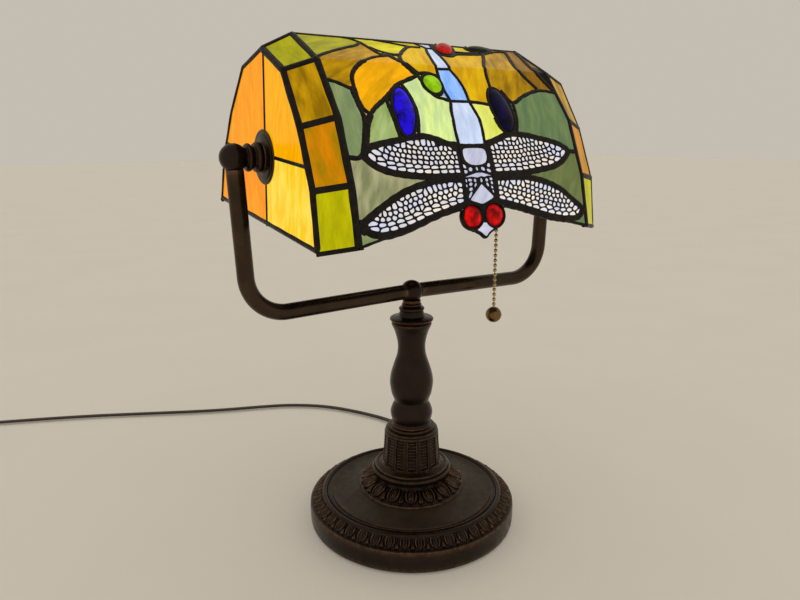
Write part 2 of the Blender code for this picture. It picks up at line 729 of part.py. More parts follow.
WING_UPPER = [(0.0140, 0.1060), (0.0260, 0.1000), (0.0420, 0.0968), (0.0580, 0.0990),
              (0.0740, 0.1035), (0.0835, 0.1085), (0.0800, 0.1145), (0.0680, 0.1185),
              (0.0500, 0.1205), (0.0320, 0.1225), (0.0140, 0.1215)]
WING_LOWER = [(0.0140, 0.1290), (0.0280, 0.1295), (0.0450, 0.1305), (0.0620, 0.1345),
              (0.0780, 0.1415), (0.0880, 0.1500), (0.0870, 0.1560), (0.0740, 0.1555),
              (0.0560, 0.1510), (0.0360, 0.1455), (0.0180, 0.1420)]


def wings():
    """Pierced metal wings, one flat plate each, laid over the front glass."""
    thickness = 0.0005
    for level, outline, anchor in (("upper", WING_UPPER, 0.1100), ("lower", WING_LOWER, 0.1400)):
        for name, side, _ in sides():
            points = [(side * x, anchor - down) for x, down in outline]
            plate = flat_plate("wing_" + level + "_" + name, [points], thickness, LEAD,
                               parent=SHADE_AXIS)
            plate.matrix_local = on_front(0.0, anchor, GAP + thickness / 2)


def eye_gems():
    """Round glass cabochons that bulge on both faces of the lower edge."""
    for name, side, _ in sides():
        profile = [(EYE_RADIUS * math.cos(math.radians(a)), 0.0034 * math.sin(math.radians(a)))
                   for a in range(90, -91, -30)]
        gem = turned("eye_gem_" + name, profile, RED_GLASS, COARSE, parent=SHADE_AXIS)
        gem.matrix_local = on_front(side * EYE.x, EYE.y, -GLASS / 2)


# ---------------------------------------------------------------- socket, bulb and chain

def socket():
    """Brass cap and shell, the insulating block inside, and the chain's guide."""
    where = {"location": (0, 0, PIVOT_Z), "rotation": (0, math.pi / 2, 0)}
    bore = STUD_RADIUS + GAP
    wall = 0.0010
    outer = SOCKET_RADIUS - 0.0004
    cap = [(bore, SOCKET_CAP_TOP), (0.0068, SOCKET_CAP_TOP), (0.0072, 0.1020)]
    cap += arc(outer - 0.0070, 0.0945, 0.0070, 80, 0, 3)
    cap += [(outer, SOCKET_SPLIT + GAP), (outer - wall, SOCKET_SPLIT + GAP)]
    cap += [(outer - wall, 0.0940), (0.0100, 0.0985), (bore, 0.0985)]
    turned("socket_cap", cap, BRASS, MEDIUM, ring=True, **where)
    shell = [(SOCKET_RADIUS - wall, SOCKET_SPLIT), (SOCKET_RADIUS, SOCKET_SPLIT),
             (SOCKET_RADIUS, SOCKET_MOUTH + 0.0015), (SOCKET_RADIUS + 0.0008, SOCKET_MOUTH),
             (SOCKET_RADIUS - wall, SOCKET_MOUTH)]
    shell_body = turned("socket_shell", shell, BRASS, MEDIUM, ring=True, **where)
    block = SOCKET_RADIUS - wall - GAP
    turned("socket_block", [(0, 0.0870), (block, 0.0870), (block, 0.0725), (0, 0.0725)],
           CORD_PLASTIC, MEDIUM, **where)
    toward = Vector((0, -math.sin(CHAIN_LEAN), -math.cos(CHAIN_LEAN)))
    middle = Vector((CHAIN_X, 0, PIVOT_Z)) + toward * 0.0165
    turn = (math.pi - CHAIN_LEAN, 0, 0)
    cut(shell_body, rod_cutter("guide_hole", 0.0034, 0.0060, middle, turn))
    guide = [(0.0046, 0.0279), (0.0049, 0.0275), (0.0034, 0.0240), (0.0031, 0.0160),
             (0.0023, 0.0160), (0.0023, 0.0240)]
    turned("chain_guide", guide, BRASS, COARSE, ring=True,
           location=(CHAIN_X, 0, PIVOT_Z), rotation=turn)


def bulb():
    """Screw base in the socket and the hollow frosted glass beyond it."""
    where = {"location": (0, 0, PIVOT_Z), "rotation": (0, math.pi / 2, 0)}
    base = [(0, 0.0720), (0.0045, 0.0716), (0.0080, 0.0680), (0.0131, 0.0670), (0.0131, 0.0440),
            (0.0121, 0.0440), (0.0121, 0.0660), (0, 0.0670)]
    turned("bulb_base", base, STEEL, MEDIUM, **where)
    end = 0.0440 - GAP
    glass = arc(0, -0.0070, 0.0280, -90, 42, 7)
    glass += [(0.0174, 0.0228), (0.0126, 0.0378), (0.0118, end)]
    glass += [(0.0128, end), (0.0136, 0.0380), (0.0185, 0.0230)]
    glass += arc(0, -0.0070, 0.0290, 42, -90, 7)
    turned("bulb_glass", glass, BULB_GLASS, MEDIUM, **where)


def chain_place(distance):
    """Point on the axis of the chain's guide, a distance from the socket's axis."""
    return Vector((CHAIN_X, -math.sin(CHAIN_LEAN) * distance,
                   PIVOT_Z - math.cos(CHAIN_LEAN) * distance))


LINK_END = 0.0296


def pull_link():
    """Short beaded link inside the guide, which the switch's spring draws back."""
    profile = [(0, 0.0196)]
    for middle in (0.0212, 0.0254, LINK_END):
        profile += [(0.0005, middle - 0.0015), (CHAIN_BEAD, middle), (0.0005, middle + 0.0015)]
    profile.append((0, LINK_END + 0.0016))
    profile.reverse()
    link_axis = empty("pull_link_axis", chain_place(0.0), (math.pi - CHAIN_LEAN, 0, 0))
    turned("pull_link", profile, BRASS, COARSE // 2, parent=link_axis)


def pull_chain():
    """Ball chain and its end ball, which swing from the link's last bead."""
    top = chain_place(LINK_END)
    chain_axis = empty("pull_chain_axis", top)
    wire = 0.0005
    profile = [(0, -CHAIN_BEAD - GAP), (wire, -CHAIN_BEAD - GAP)]
    for i in range(1, CHAIN_BEADS + 1):
        middle = -CHAIN_PITCH * i
        profile += [(wire, middle + 0.0015), (CHAIN_BEAD, middle + 0.0004),
                    (CHAIN_BEAD, middle - 0.0004), (wire, middle - 0.0015)]
    bottom = -CHAIN_PITCH * CHAIN_BEADS - 0.0022
    profile += [(wire, bottom), (0, bottom)]
    turned("pull_chain", profile, BRONZE, 6, parent=chain_axis)
    centre = bottom - GAP - CHAIN_BALL
    ball = arc(0, centre, CHAIN_BALL, 90, -90, 8)
    turned("chain_ball", ball, BRONZE, COARSE, parent=chain_axis)


# ---------------------------------------------------------------- mains lead

def cord():
    """The lead from the gland along the table, its coil and the tie round the coil."""
    tube("cord_lead", smooth_route(CORD_ROUTE, 0.0135), CORD_RADIUS, CORD_PLASTIC, resolution=2)
    top = COIL_BASE + COIL_HEIGHT
    coil = [(COIL_INNER, top - 0.0020), (COIL_INNER + 0.0020, top), (COIL_OUTER - 0.0020, top),
            (COIL_OUTER, top - 0.0020), (COIL_OUTER, COIL_BASE), (COIL_INNER, COIL_BASE)]
    turned("cord_coil", coil, CORD_PLASTIC, MEDIUM, ring=True, location=COIL_CENTRE)
    width = COIL_OUTER - COIL_INNER
    middle = (COIL_OUTER + COIL_INNER) / 2
    clear = 0.0010
    inner = [(-width / 2 - clear, COIL_BASE - GAP), (width / 2 + clear, COIL_BASE - GAP),
             (width / 2 + clear, top + GAP), (-width / 2 - clear, top + GAP)]
    wall = 0.0009
    outer = [(-width / 2 - clear - wall, 0.0001), (width / 2 + clear + wall, 0.0001),
             (width / 2 + clear + wall, top + GAP + wall),
             (-width / 2 - clear - wall, top + GAP + wall)]
    flat_plate("cord_tie", [outer, inner], 0.0060, CORD_PLASTIC,
               location=COIL_CENTRE + Vector((0, middle, 0)),
               rotation=(math.pi / 2, 0, math.pi / 2))


def plug():
    """Two-blade plug that lies beside the coil."""
    angle = math.radians(250.0)
    along = Vector((math.cos(angle), math.sin(angle), 0))
    across = Vector((-along.y, along.x, 0))
    side = Vector((math.cos(math.radians(200.0)), math.sin(math.radians(200.0)), 0))
    height = Vector((0, 0, 0.0076))
    tip = COIL_CENTRE + side * (COIL_OUTER + 0.0046) + height
    body = [(0, 0.0400), (0.0066, 0.0400), (0.0074, 0.0390), (0.0074, 0.0160), (0.0040, 0.0100),
            (0.0032, 0.0), (0, 0.0)]
    handle = turned("plug_body", body, CORD_PLASTIC, MEDIUM, location=tip,
                    rotation=(0, math.pi / 2, angle))
    handle.scale = (1.0, 1.6, 1.0)
    for name, offset in (("left", -0.00635), ("right", 0.00635)):
        middle = tip + along * (0.0400 + GAP + 0.0080) + across * offset
        blade("plug_blade_" + name, (0.0160, 0.0015, 0.0063), BRASS, location=middle,
              rotation=(0, 0, angle))


base_casting()
base_inside()
leaf_collar()
fluted_collar()
column_vase()
column_cap()
hub_ball()
column_rod()
strain_relief()
yoke_tubes()
arm_balls()
pivot_collars()
pivot_fasteners()
front_glass()
back_glass()
border_glass()
end_glass()
escutcheons()
came()
rims()
wings()
eye_gems()
socket()
bulb()
pull_link()
pull_chain()
cord()
plug()
bpy.context.view_layer.update()
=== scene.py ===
import math
import random

import bmesh
import bpy
import numpy as np
from mathutils import Matrix, Vector


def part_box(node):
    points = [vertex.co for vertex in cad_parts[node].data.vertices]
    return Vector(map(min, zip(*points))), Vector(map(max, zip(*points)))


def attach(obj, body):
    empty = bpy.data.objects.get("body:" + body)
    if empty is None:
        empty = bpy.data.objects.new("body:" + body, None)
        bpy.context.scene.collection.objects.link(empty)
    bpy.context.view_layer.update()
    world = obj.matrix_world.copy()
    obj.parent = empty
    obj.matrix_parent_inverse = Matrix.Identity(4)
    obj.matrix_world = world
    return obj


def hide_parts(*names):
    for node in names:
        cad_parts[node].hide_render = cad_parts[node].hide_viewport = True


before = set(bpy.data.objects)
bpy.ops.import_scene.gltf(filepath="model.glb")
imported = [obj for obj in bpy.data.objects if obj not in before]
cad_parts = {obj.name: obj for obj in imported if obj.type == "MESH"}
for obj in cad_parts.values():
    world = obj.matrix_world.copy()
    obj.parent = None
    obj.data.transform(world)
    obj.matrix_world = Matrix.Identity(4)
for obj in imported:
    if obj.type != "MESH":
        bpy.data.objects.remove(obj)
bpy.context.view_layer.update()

MM = 0.001
ROOT, SHADE_BODY, LINK_BODY, CHAIN_BODY = "base_and_yoke", "shade", "pull_link", "pull_chain"
SIDES = ((-1, "left"), (1, "right"))

# Driving sizes, the same as the model's
PIVOT_Z = 0.3026
BAR_Z = 0.1967
DISH_Z = 0.0505
SLEEVE_Z = 0.0838
TUBE_RADIUS = 0.0059
CORNER_X = 0.1339
BEND_RADIUS = 0.029
BAR_DROOP = math.radians(1.0)
ARM_LEAN = math.radians(2.5)
BALL_RADIUS = 0.0093
HUB_RADIUS = 0.0089
TILT = math.radians(6.4)
SHADE_SHIFT = 0.0053
BARREL = [(0.0, 0.0790), (0.0383, 0.0641), (0.0686, 0.0318), (0.0886, -0.0055), (0.1003, -0.0401)]
END = [(0.0, 0.0687), (0.0344, 0.0564), (0.0599, 0.0249), (0.0790, -0.0101), (0.0877, -0.0454)]
BARREL_X = 0.0958
END_X = 0.1172
GLASS = 0.003
GLASS_SKIN = 0.0002
PANE_THICKNESS = 0.0025
EYE_RADIUS = 0.0075
STUD_RADIUS = 0.0040
CHAIN_X = 0.0710
CHAIN_LEAN = math.radians(35.0)
CHAIN_PITCH = 0.0041
CHAIN_BEAD = 0.0016
CHAIN_BEADS = 24
CHAIN_BALL = 0.0066
LINK_END = 0.0296
CORD_EXIT_ANGLE = math.radians(50.0)
CORD_EXIT_Z = 0.0100
COIL_CENTRE = Vector((-0.3590, 0.3850, 0.0))
# The lead's way: down from the gland, then over the floor as (x, y)
FLOOR_LINE = 0.0029
CORD_DROP = [
    (0.0736, 0.0878, 0.0100), (0.0779, 0.0929, 0.0098), (0.0814, 0.0992, 0.0076),
    (0.0838, 0.1075, 0.0048), (0.0852, 0.1175, 0.0031),
]
CORD_FLOOR = [
    (0.0858, 0.1290), (0.0858, 0.1410), (0.0845, 0.1545), (0.0812, 0.1690), (0.0758, 0.1835),
    (0.0684, 0.1990), (0.0588, 0.2160), (0.0478, 0.2325), (0.0345, 0.2480), (0.0180, 0.2620),
    (-0.0010, 0.2740), (-0.0225, 0.2838), (-0.0455, 0.2925), (-0.0700, 0.3020),
    (-0.1000, 0.3155), (-0.1320, 0.3315), (-0.1660, 0.3485), (-0.2000, 0.3650),
    (-0.2340, 0.3800), (-0.2670, 0.3935), (-0.2970, 0.4055), (-0.3180, 0.4150),
]
CORD_ROUTE = CORD_DROP + [(x, y, FLOOR_LINE) for x, y in CORD_FLOOR]

SHADE = Matrix.Translation((0, 0, PIVOT_Z)) @ Matrix.Rotation(TILT, 4, "X")


# ---------------------------------------------------------------- small helpers

def linear(red, green, blue):
    """Scene-linear colour from screen values of 0 to 255."""
    out = []
    for value in (red, green, blue):
        value /= 255
        out.append(value / 12.92 if value <= 0.04045 else ((value + 0.055) / 1.055) ** 2.4)
    return tuple(out)


def smoothstep(low, high, value):
    share = np.clip((value - low) / (high - low), 0.0, 1.0)
    return share * share * (3 - 2 * share)


def bump(value, width):
    """A smooth hill of height 1 at 0 that ends at plus and minus the width."""
    return smoothstep(1.0, 0.0, np.abs(value) / width)


def arc(cx, cz, radius, start, end, count):
    """Points of a round stretch, angles in degrees from the +r direction."""
    angles = np.radians(np.linspace(start, end, count + 1))
    return [(cx + radius * math.cos(a), cz + radius * math.sin(a)) for a in angles]


def round_turn(count):
    """Angles of that many equal steps round a full turn."""
    return np.linspace(0, 2 * math.pi, count, endpoint=False)


def flattened(values, power):
    """Sines or cosines pushed towards a square, with their signs kept."""
    return np.sign(values) * np.abs(values) ** power


def sideways(side, x=0.0, height=PIVOT_Z):
    """Turns a profile's Z axis outwards along X, from a point of the lamp's middle plane."""
    return Matrix.Translation((x, 0, height)) @ Matrix.Rotation(side * math.pi / 2, 4, "Y")


# ---------------------------------------------------------------- materials

def tree(name, **shader):
    """A new node material: returns it, its node tree and its Principled shader."""
    mat = bpy.data.materials.new(name)
    mat.use_nodes = True
    bsdf = mat.node_tree.nodes["Principled BSDF"]
    for socket, value in shader.items():
        bsdf.inputs[socket.replace("_", " ")].default_value = value
    return mat, mat.node_tree, bsdf


def add(nodes_tree, kind, links=(), **values):
    """Adds a node; values set its sockets or its properties, links join other sockets to it."""
    made = nodes_tree.nodes.new(kind)
    for key, value in values.items():
        if hasattr(made, key):
            setattr(made, key, value)
        else:
            made.inputs[key.replace("_", " ")].default_value = value
    for socket, source in links:
        nodes_tree.links.new(source, made.inputs[socket])
    return made


def ramp(nodes_tree, source, stops):
    """A colour ramp; the stops are (place, colour or grey)."""
    made = add(nodes_tree, "ShaderNodeValToRGB", [(0, source)])
    points = made.color_ramp.elements
    while len(points) < len(stops):
        points.new(0.5)
    for point, (place, colour) in zip(points, stops):
        point.position = place
        point.color = (*colour, 1.0) if isinstance(colour, tuple) else (colour,) * 3 + (1.0,)
    return made.outputs["Color"]


def mix(nodes_tree, factor, a, b, blend="MIX"):
    made = nodes_tree.nodes.new("ShaderNodeMix")
    made.data_type = "RGBA"
    made.blend_type = blend
    for index, value in ((0, factor), (6, a), (7, b)):
        if isinstance(value, bpy.types.NodeSocket):
            nodes_tree.links.new(value, made.inputs[index])
        elif isinstance(value, tuple):
            made.inputs[index].default_value = (*value, 1.0)
        else:
            made.inputs[index].default_value = value
    return made.outputs[2]


def feed(nodes_tree, bsdf, **sources):
    """Joins each source to the shader's socket of that name."""
    for socket, source in sources.items():
        nodes_tree.links.new(source, bsdf.inputs[socket.replace("_", " ")])


def relief(nodes_tree, bsdf, height, strength, distance):
    made = add(nodes_tree, "ShaderNodeBump", [("Height", height)], Strength=strength,
               Distance=distance)
    feed(nodes_tree, bsdf, Normal=made.outputs[0])


def noise(nodes_tree, scale, detail=4.0, rough=0.55, vector=None, stretch=None):
    """Noise in object coordinates, which may be stretched."""
    if vector is None:
        vector = add(nodes_tree, "ShaderNodeTexCoord").outputs["Object"]
    if stretch:
        vector = add(nodes_tree, "ShaderNodeMapping", [("Vector", vector)],
                     Scale=stretch).outputs[0]
    made = add(nodes_tree, "ShaderNodeTexNoise", [("Vector", vector)], Scale=scale,
               Detail=detail, Roughness=rough)
    return made.outputs["Fac"]


def clouds(nodes_tree, scale, low, high, detail=4.0, spread=(0.3, 0.7)):
    """A value or a colour that drifts between two limits in patches of noise."""
    return ramp(nodes_tree, noise(nodes_tree, scale, detail), list(zip(spread, (low, high))))


def darker(colour, share):
    return tuple(share * c for c in colour)


def bronze(name, base, copper_wear_and_highlight, roughness, grain=0.00006, rub_and_highlight_point=0.56):
    """Dark antique bronze: mottled patina, fine cast grain; copper convex edges, part rubbing, part
    painted highlight.
    """
    mat, nt, bsdf = tree(name, Metallic=0.75, Specular_IOR_Level=0.5)
    tone = clouds(nt, 70.0, darker(base, 0.6), base, 6.0, (0.32, 0.70))
    # Convex edges, found by pointiness, turn copper: partly rubbing, partly a painted highlight
    point = add(nt, "ShaderNodeNewGeometry").outputs["Pointiness"]
    rubbed_and_highlit = ramp(nt, point, [(rub_and_highlight_point - 0.045, 0.0), (rub_and_highlight_point + 0.03, 1.0)])
    patchy = clouds(nt, 260.0, 0.25, 1.0, 3.0, (0.35, 0.65))
    amount = mix(nt, 1.0, rubbed_and_highlit, patchy, "MULTIPLY")
    feed(nt, bsdf, Base_Color=mix(nt, amount, tone, copper_wear_and_highlight),
         Roughness=clouds(nt, 140.0, roughness - 0.07, roughness + 0.10, 5.0))
    relief(nt, bsdf, noise(nt, 1500.0, 3.0), 0.5, grain)
    return mat


def powder(name):
    """Matte olive-brown plate with tiny bright flecks."""
    mat, nt, bsdf = tree(name, Metallic=0.45)
    tone = clouds(nt, 60.0, linear(46, 36, 23), linear(66, 53, 35), 5.0)
    cells = add(nt, "ShaderNodeTexVoronoi", [
        ("Vector", add(nt, "ShaderNodeTexCoord").outputs["Object"])], Scale=1100.0)
    fleck = ramp(nt, cells.outputs["Distance"], [(0.06, 0.5), (0.16, 0.0)])
    feed(nt, bsdf, Base_Color=mix(nt, fleck, tone, linear(150, 130, 95)),
         Roughness=clouds(nt, 200.0, 0.46, 0.62))
    relief(nt, bsdf, noise(nt, 2200.0, 2.0), 0.6, 0.00008)
    return mat


def patina():
    """Blackened solder with a lumpy surface and bare glints."""
    mat, nt, bsdf = tree("lead_patina", Metallic=0.65)
    feed(nt, bsdf, Roughness=clouds(nt, 320.0, 0.32, 0.58), Base_Color=clouds(
        nt, 220.0, linear(14, 11, 10), linear(40, 33, 29), 5.0, (0.35, 0.72)))
    relief(nt, bsdf, noise(nt, 420.0, 4.0), 0.6, 0.00035)
    return mat


def lit_glass():
    """Opalescent sheet glass lit from behind: each pane has its own two colours and streaks."""
    mat, nt, bsdf = tree("opalescent_glass", Roughness=0.20, Specular_IOR_Level=0.07,
                         Emission_Strength=PANE_GLOW)
    first = add(nt, "ShaderNodeAttribute", attribute_name="pane_a").outputs["Color"]
    second = add(nt, "ShaderNodeAttribute", attribute_name="pane_b").outputs["Color"]
    streaks = add(nt, "ShaderNodeAttribute", attribute_name="streak").outputs["Vector"]
    wide = noise(nt, 1.0, 3.0, 0.5, streaks, (0.30, 1.0, 1.0))
    fine = noise(nt, 2.4, 5.0, 0.6, streaks, (0.24, 1.0, 1.0))
    share = ramp(nt, wide, [(0.36, 0.0), (0.64, 1.0)])
    swirl = mix(nt, share, first, second)
    veil = ramp(nt, fine, [(0.30, 0.84), (0.70, 1.06)])
    glow = mix(nt, 1.0, swirl, veil, "MULTIPLY")
    feed(nt, bsdf, Emission_Color=glow, Base_Color=mix(nt, 0.82, glow, (0.0, 0.0, 0.0)))
    waves = noise(nt, 0.9, 2.0, 0.5, streaks)
    relief(nt, bsdf, mix(nt, 0.25, waves, fine), 0.25, 0.0005)
    return mat


def gem_glass(name, dark, bright, glow):
    """A polished cabochon lit from behind: the bulb's light is painted as emission that brightens
    in cloudy patches.
    """
    mat, nt, bsdf = tree(name, Roughness=0.06, Specular_IOR_Level=0.13, Emission_Strength=glow)
    cloud = clouds(nt, 170.0, dark, bright, 3.0, (0.38, 0.66))
    feed(nt, bsdf, Emission_Color=cloud, Base_Color=mix(nt, 0.5, cloud, dark))
    relief(nt, bsdf, noise(nt, 300.0, 2.0), 0.15, 0.0002)
    return mat


def plain_metal(name, colour, roughness, scale=300.0):
    """Plated or drawn metal with fine marks and smudged gloss."""
    mat, nt, bsdf = tree(name, Metallic=1.0)
    marks = noise(nt, scale, 5.0, 0.6)
    feed(nt, bsdf, Base_Color=ramp(nt, marks, [(0.3, darker(colour, 0.72)), (0.7, colour)]),
         Roughness=clouds(nt, 60.0, roughness - 0.08, roughness + 0.12))
    relief(nt, bsdf, marks, 0.2, 0.00004)
    return mat


def cast_iron():
    mat, nt, bsdf = tree("rough_iron", Metallic=0.6)
    feed(nt, bsdf, Base_Color=clouds(nt, 90.0, linear(46, 40, 36), linear(92, 86, 80), 6.0),
         Roughness=clouds(nt, 400.0, 0.6, 0.9))
    relief(nt, bsdf, noise(nt, 500.0, 5.0), 0.8, 0.0004)
    return mat


def felt():
    mat, nt, bsdf = tree("green_felt", Roughness=0.95, Sheen_Weight=0.5)
    fibres = noise(nt, 1400.0, 6.0, 0.75)
    feed(nt, bsdf, Base_Color=ramp(nt, fibres, [(0.3, linear(16, 34, 24)),
                                                (0.7, linear(44, 74, 54))]))
    relief(nt, bsdf, fibres, 0.9, 0.0003)
    return mat


def flex_plastic(name, low, high, roughness):
    """Moulded PVC with a faint orange-peel surface."""
    mat, nt, bsdf = tree(name)
    feed(nt, bsdf, Base_Color=clouds(nt, 120.0, low, high),
         Roughness=clouds(nt, 90.0, roughness - 0.06, roughness + 0.1))
    relief(nt, bsdf, noise(nt, 1300.0, 2.0), 0.25, 0.00006)
    return mat


def bulb_skin():
    """Frosted bulb, brightest round its middle and duller at the neck."""
    mat, nt, bsdf = tree("frosted_bulb", Roughness=0.35, Emission_Strength=1.5,
                         Base_Color=(0.9, 0.88, 0.82, 1.0))
    place = add(nt, "ShaderNodeTexCoord").outputs["Object"]
    split = add(nt, "ShaderNodeSeparateXYZ", [("Vector", place)]).outputs["X"]
    warm = ramp(nt, split, [(0.0, linear(255, 226, 170)), (0.045, linear(225, 150, 70))])
    frost = clouds(nt, 900.0, 0.90, 1.0)
    feed(nt, bsdf, Emission_Color=mix(nt, 1.0, warm, frost, "MULTIPLY"))
    relief(nt, bsdf, noise(nt, 1600.0, 2.0), 0.2, 0.00005)
    return mat


PANE_GLOW = 0.98
BRONZE = bronze("antique_bronze", linear(48, 36, 27), linear(132, 86, 60), 0.30)
CAST = bronze("relief_bronze", linear(44, 34, 26), linear(142, 106, 78), 0.34, rub_and_highlight_point=0.55)
TUBE = bronze("drawn_bronze", linear(70, 54, 39), linear(130, 98, 72), 0.25, 0.00003)
POWDER = powder("plate_bronze")
LEAD = patina()
PANE = lit_glass()
STEEL = plain_metal("zinc_plate", linear(186, 186, 178), 0.34)
BRASS = plain_metal("socket_brass", linear(196, 160, 92), 0.30, 260.0)
BLACK_BRASS = plain_metal("bronzed_brass", linear(112, 92, 68), 0.28, 500.0)
CHAIN_BRASS = plain_metal("chain_brass", linear(206, 184, 142), 0.20, 500.0)
KNOB_BRASS = plain_metal("knob_brass", linear(128, 102, 62), 0.22, 200.0)
IRON = cast_iron()
FELT = felt()
FLEX = flex_plastic("brown_flex", linear(34, 26, 20), linear(58, 45, 34), 0.40)
PLUG = flex_plastic("brown_moulding", linear(30, 23, 18), linear(46, 36, 28), 0.45)
INSULATOR = flex_plastic("dark_phenolic", linear(24, 18, 15), linear(40, 31, 26), 0.35)
BULB = bulb_skin()
RED = gem_glass("red_gem", linear(92, 0, 2), linear(214, 6, 4), 0.78)
BLUE = gem_glass("blue_gem", linear(8, 0, 92), linear(32, 6, 232), 0.80)
NAVY = gem_glass("navy_gem", linear(2, 1, 12), linear(9, 3, 66), 0.50)
FOREST = gem_glass("dark_green_gem", linear(3, 10, 2), linear(10, 38, 10), 0.45)
LIME = gem_glass("lime_gem", linear(98, 146, 0), linear(152, 198, 18), 0.85)


# ---------------------------------------------------------------- mesh helpers

def clean(mesh, weld=0.0):
    """Turns the faces outwards, once vertices closer than the weld distance are one."""
    work = bmesh.new()
    work.from_mesh(mesh)
    if weld:
        bmesh.ops.remove_doubles(work, verts=work.verts, dist=weld)
    bmesh.ops.recalc_face_normals(work, faces=work.faces)
    work.to_mesh(mesh)
    work.free()


def piece(name, verts, faces, mat, body, slot, replaces=(), smooth=35.0, matrix=None):
    """A mesh object with outward faces that rides on a body and may stand for CAD nodes."""
    mesh = bpy.data.meshes.new(name)
    mesh.from_pydata([tuple(v) for v in verts], [], [tuple(f) for f in faces])
    clean(mesh)
    if matrix is not None:
        mesh.transform(matrix)
    obj = bpy.data.objects.new(name, mesh)
    bpy.context.scene.collection.objects.link(obj)
    mesh.materials.append(mat)
    if smooth:
        mesh.shade_smooth()
        mesh.set_sharp_from_angle(angle=math.radians(smooth))
    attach(obj, body)
    if replaces:
        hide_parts(*replaces)
    return obj


def grid_faces(rows, columns, wrap_rows=False, wrap_columns=False):
    """Quads of a grid of points stored row by row."""
    faces = []
    for i in range(rows if wrap_rows else rows - 1):
        for j in range(columns if wrap_columns else columns - 1):
            here, below = i * columns, (i + 1) % rows * columns
            beside = (j + 1) % columns
            faces.append((here + j, here + beside, below + beside, below + j))
    return faces


def tube_faces(rows, sides):
    """Faces of a tube made of rings of points, with both ends closed."""
    last = (rows - 1) * sides
    ends = [tuple(range(sides)), tuple(range(last + sides - 1, last - 1, -1))]
    return grid_faces(rows, sides, wrap_columns=True) + ends


def resample(profile, spacing):
    """The same profile with extra points, none further apart than the spacing."""
    points = [profile[0]]
    for (r0, z0), (r1, z1) in zip(profile, profile[1:]):
        count = max(1, math.ceil(math.hypot(r1 - r0, z1 - z0) / spacing))
        for i in range(1, count + 1):
            points.append((r0 + (r1 - r0) * i / count, z0 + (z1 - z0) * i / count))
    return points


def lathe(name, profile, steps, mat, replaces=(), body=ROOT, slot="bronze", ring=False,
          matrix=None, raised=None, smooth=35.0):
    """A turned solid. raised(angle, radius, height) gives a relief along the profile's normal."""
    outline = np.array(profile, float)
    rows = len(outline)
    after = np.roll(outline, -1, 0)
    before = np.roll(outline, 1, 0)
    if not ring:
        after[-1] = outline[-1]
        before[0] = outline[0]
    tangent = after - before
    tangent /= np.maximum(np.linalg.norm(tangent, axis=1, keepdims=True), 1e-9)
    normal = np.stack([-tangent[:, 1], tangent[:, 0]], 1)
    angle, row = np.meshgrid(round_turn(steps), np.arange(rows))
    radius = outline[row, 0]
    height = outline[row, 1]
    if raised is not None:
        lift = raised(angle, radius, height)
        radius = radius + normal[row, 0] * lift
        height = height + normal[row, 1] * lift
    verts = np.stack([radius * np.cos(angle), radius * np.sin(angle), height], 2).reshape(-1, 3)
    faces = grid_faces(rows, steps, wrap_rows=ring, wrap_columns=True)
    made = piece(name, verts, faces, mat, body, slot, replaces, smooth, matrix)
    clean(made.data, weld=0.000002)


def sweep(points, axis_a, axis_b, half_a, half_b, sides, closed=False):
    """Verts and faces of a bar of elliptic section; the axes are unit vectors per point."""
    points, axis_a, axis_b = (np.asarray(v, float) for v in (points, axis_a, axis_b))
    half_a = np.broadcast_to(half_a, len(points))
    half_b = np.broadcast_to(half_b, len(points))
    turn = round_turn(sides)
    verts = (points[:, None] + np.cos(turn)[None, :, None] * (axis_a * half_a[:, None])[:, None]
             + np.sin(turn)[None, :, None] * (axis_b * half_b[:, None])[:, None]).reshape(-1, 3)
    if closed:
        return verts, grid_faces(len(points), sides, wrap_rows=True, wrap_columns=True)
    return verts, tube_faces(len(points), sides)


def along(points, closed=False):
    """Unit tangents of a line of points."""
    points = np.asarray(points, float)
    if closed:
        run = np.roll(points, -1, 0) - np.roll(points, 1, 0)
    else:
        run = np.gradient(points, axis=0)
    return run / np.maximum(np.linalg.norm(run, axis=1, keepdims=True), 1e-12)


def merged(chunks):
    """Joins (verts, faces) chunks into one."""
    verts, faces, start = [], [], 0
    for chunk_verts, chunk_faces in chunks:
        verts.append(np.asarray(chunk_verts, float))
        faces += [tuple(start + i for i in face) for face in chunk_faces]
        start += len(chunk_verts)
    return np.concatenate(verts), faces


def spline(points, spacing, closed=False):
    """Catmull-Rom line through points, with points about one spacing apart."""
    knots = [np.array(p, float) for p in points]
    if closed:
        knots = [knots[-1]] + knots + knots[:2]
    else:
        knots = [2 * knots[0] - knots[1]] + knots + [2 * knots[-1] - knots[-2]]
    line = []
    for a, b, c, d in zip(knots, knots[1:], knots[2:], knots[3:]):
        count = max(1, round(float(np.linalg.norm(c - b)) / spacing))
        for step in range(count):
            t = step / count
            line.append(0.5 * (2 * b + (c - a) * t + (2 * a - 5 * b + 4 * c - d) * t ** 2
                               + (3 * b - a - 3 * c + d) * t ** 3))
    if not closed:
        line.append(knots[-2])
    return np.array(line)


# ---------------------------------------------------------------- camera, floor and lights

def place_object(name, data, place, turn=None):
    """A new object of the scene, standing at a place with a rotation."""
    obj = bpy.data.objects.new(name, data)
    obj.location = place
    if turn is not None:
        obj.rotation_euler = turn.to_euler()
    bpy.context.scene.collection.objects.link(obj)
    return obj


CAMERA_PLACE = (-0.2834, -0.4296, 0.3153)
CAMERA_HEADING, CAMERA_PITCH, CAMERA_ROLL = 32.38, 13.76, 0.15
CAMERA_LENS = 29.92


def camera():
    data = bpy.data.cameras.new("camera")
    data.lens = CAMERA_LENS
    data.sensor_width = 36.0
    data.clip_start = 0.01
    heading = Matrix.Rotation(math.radians(-CAMERA_HEADING), 4, "Z")
    pitch = Matrix.Rotation(math.radians(90 - CAMERA_PITCH), 4, "X")
    roll = Matrix.Rotation(math.radians(-CAMERA_ROLL), 4, "Z")
    bpy.context.scene.camera = place_object("camera", data, CAMERA_PLACE, heading @ pitch @ roll)


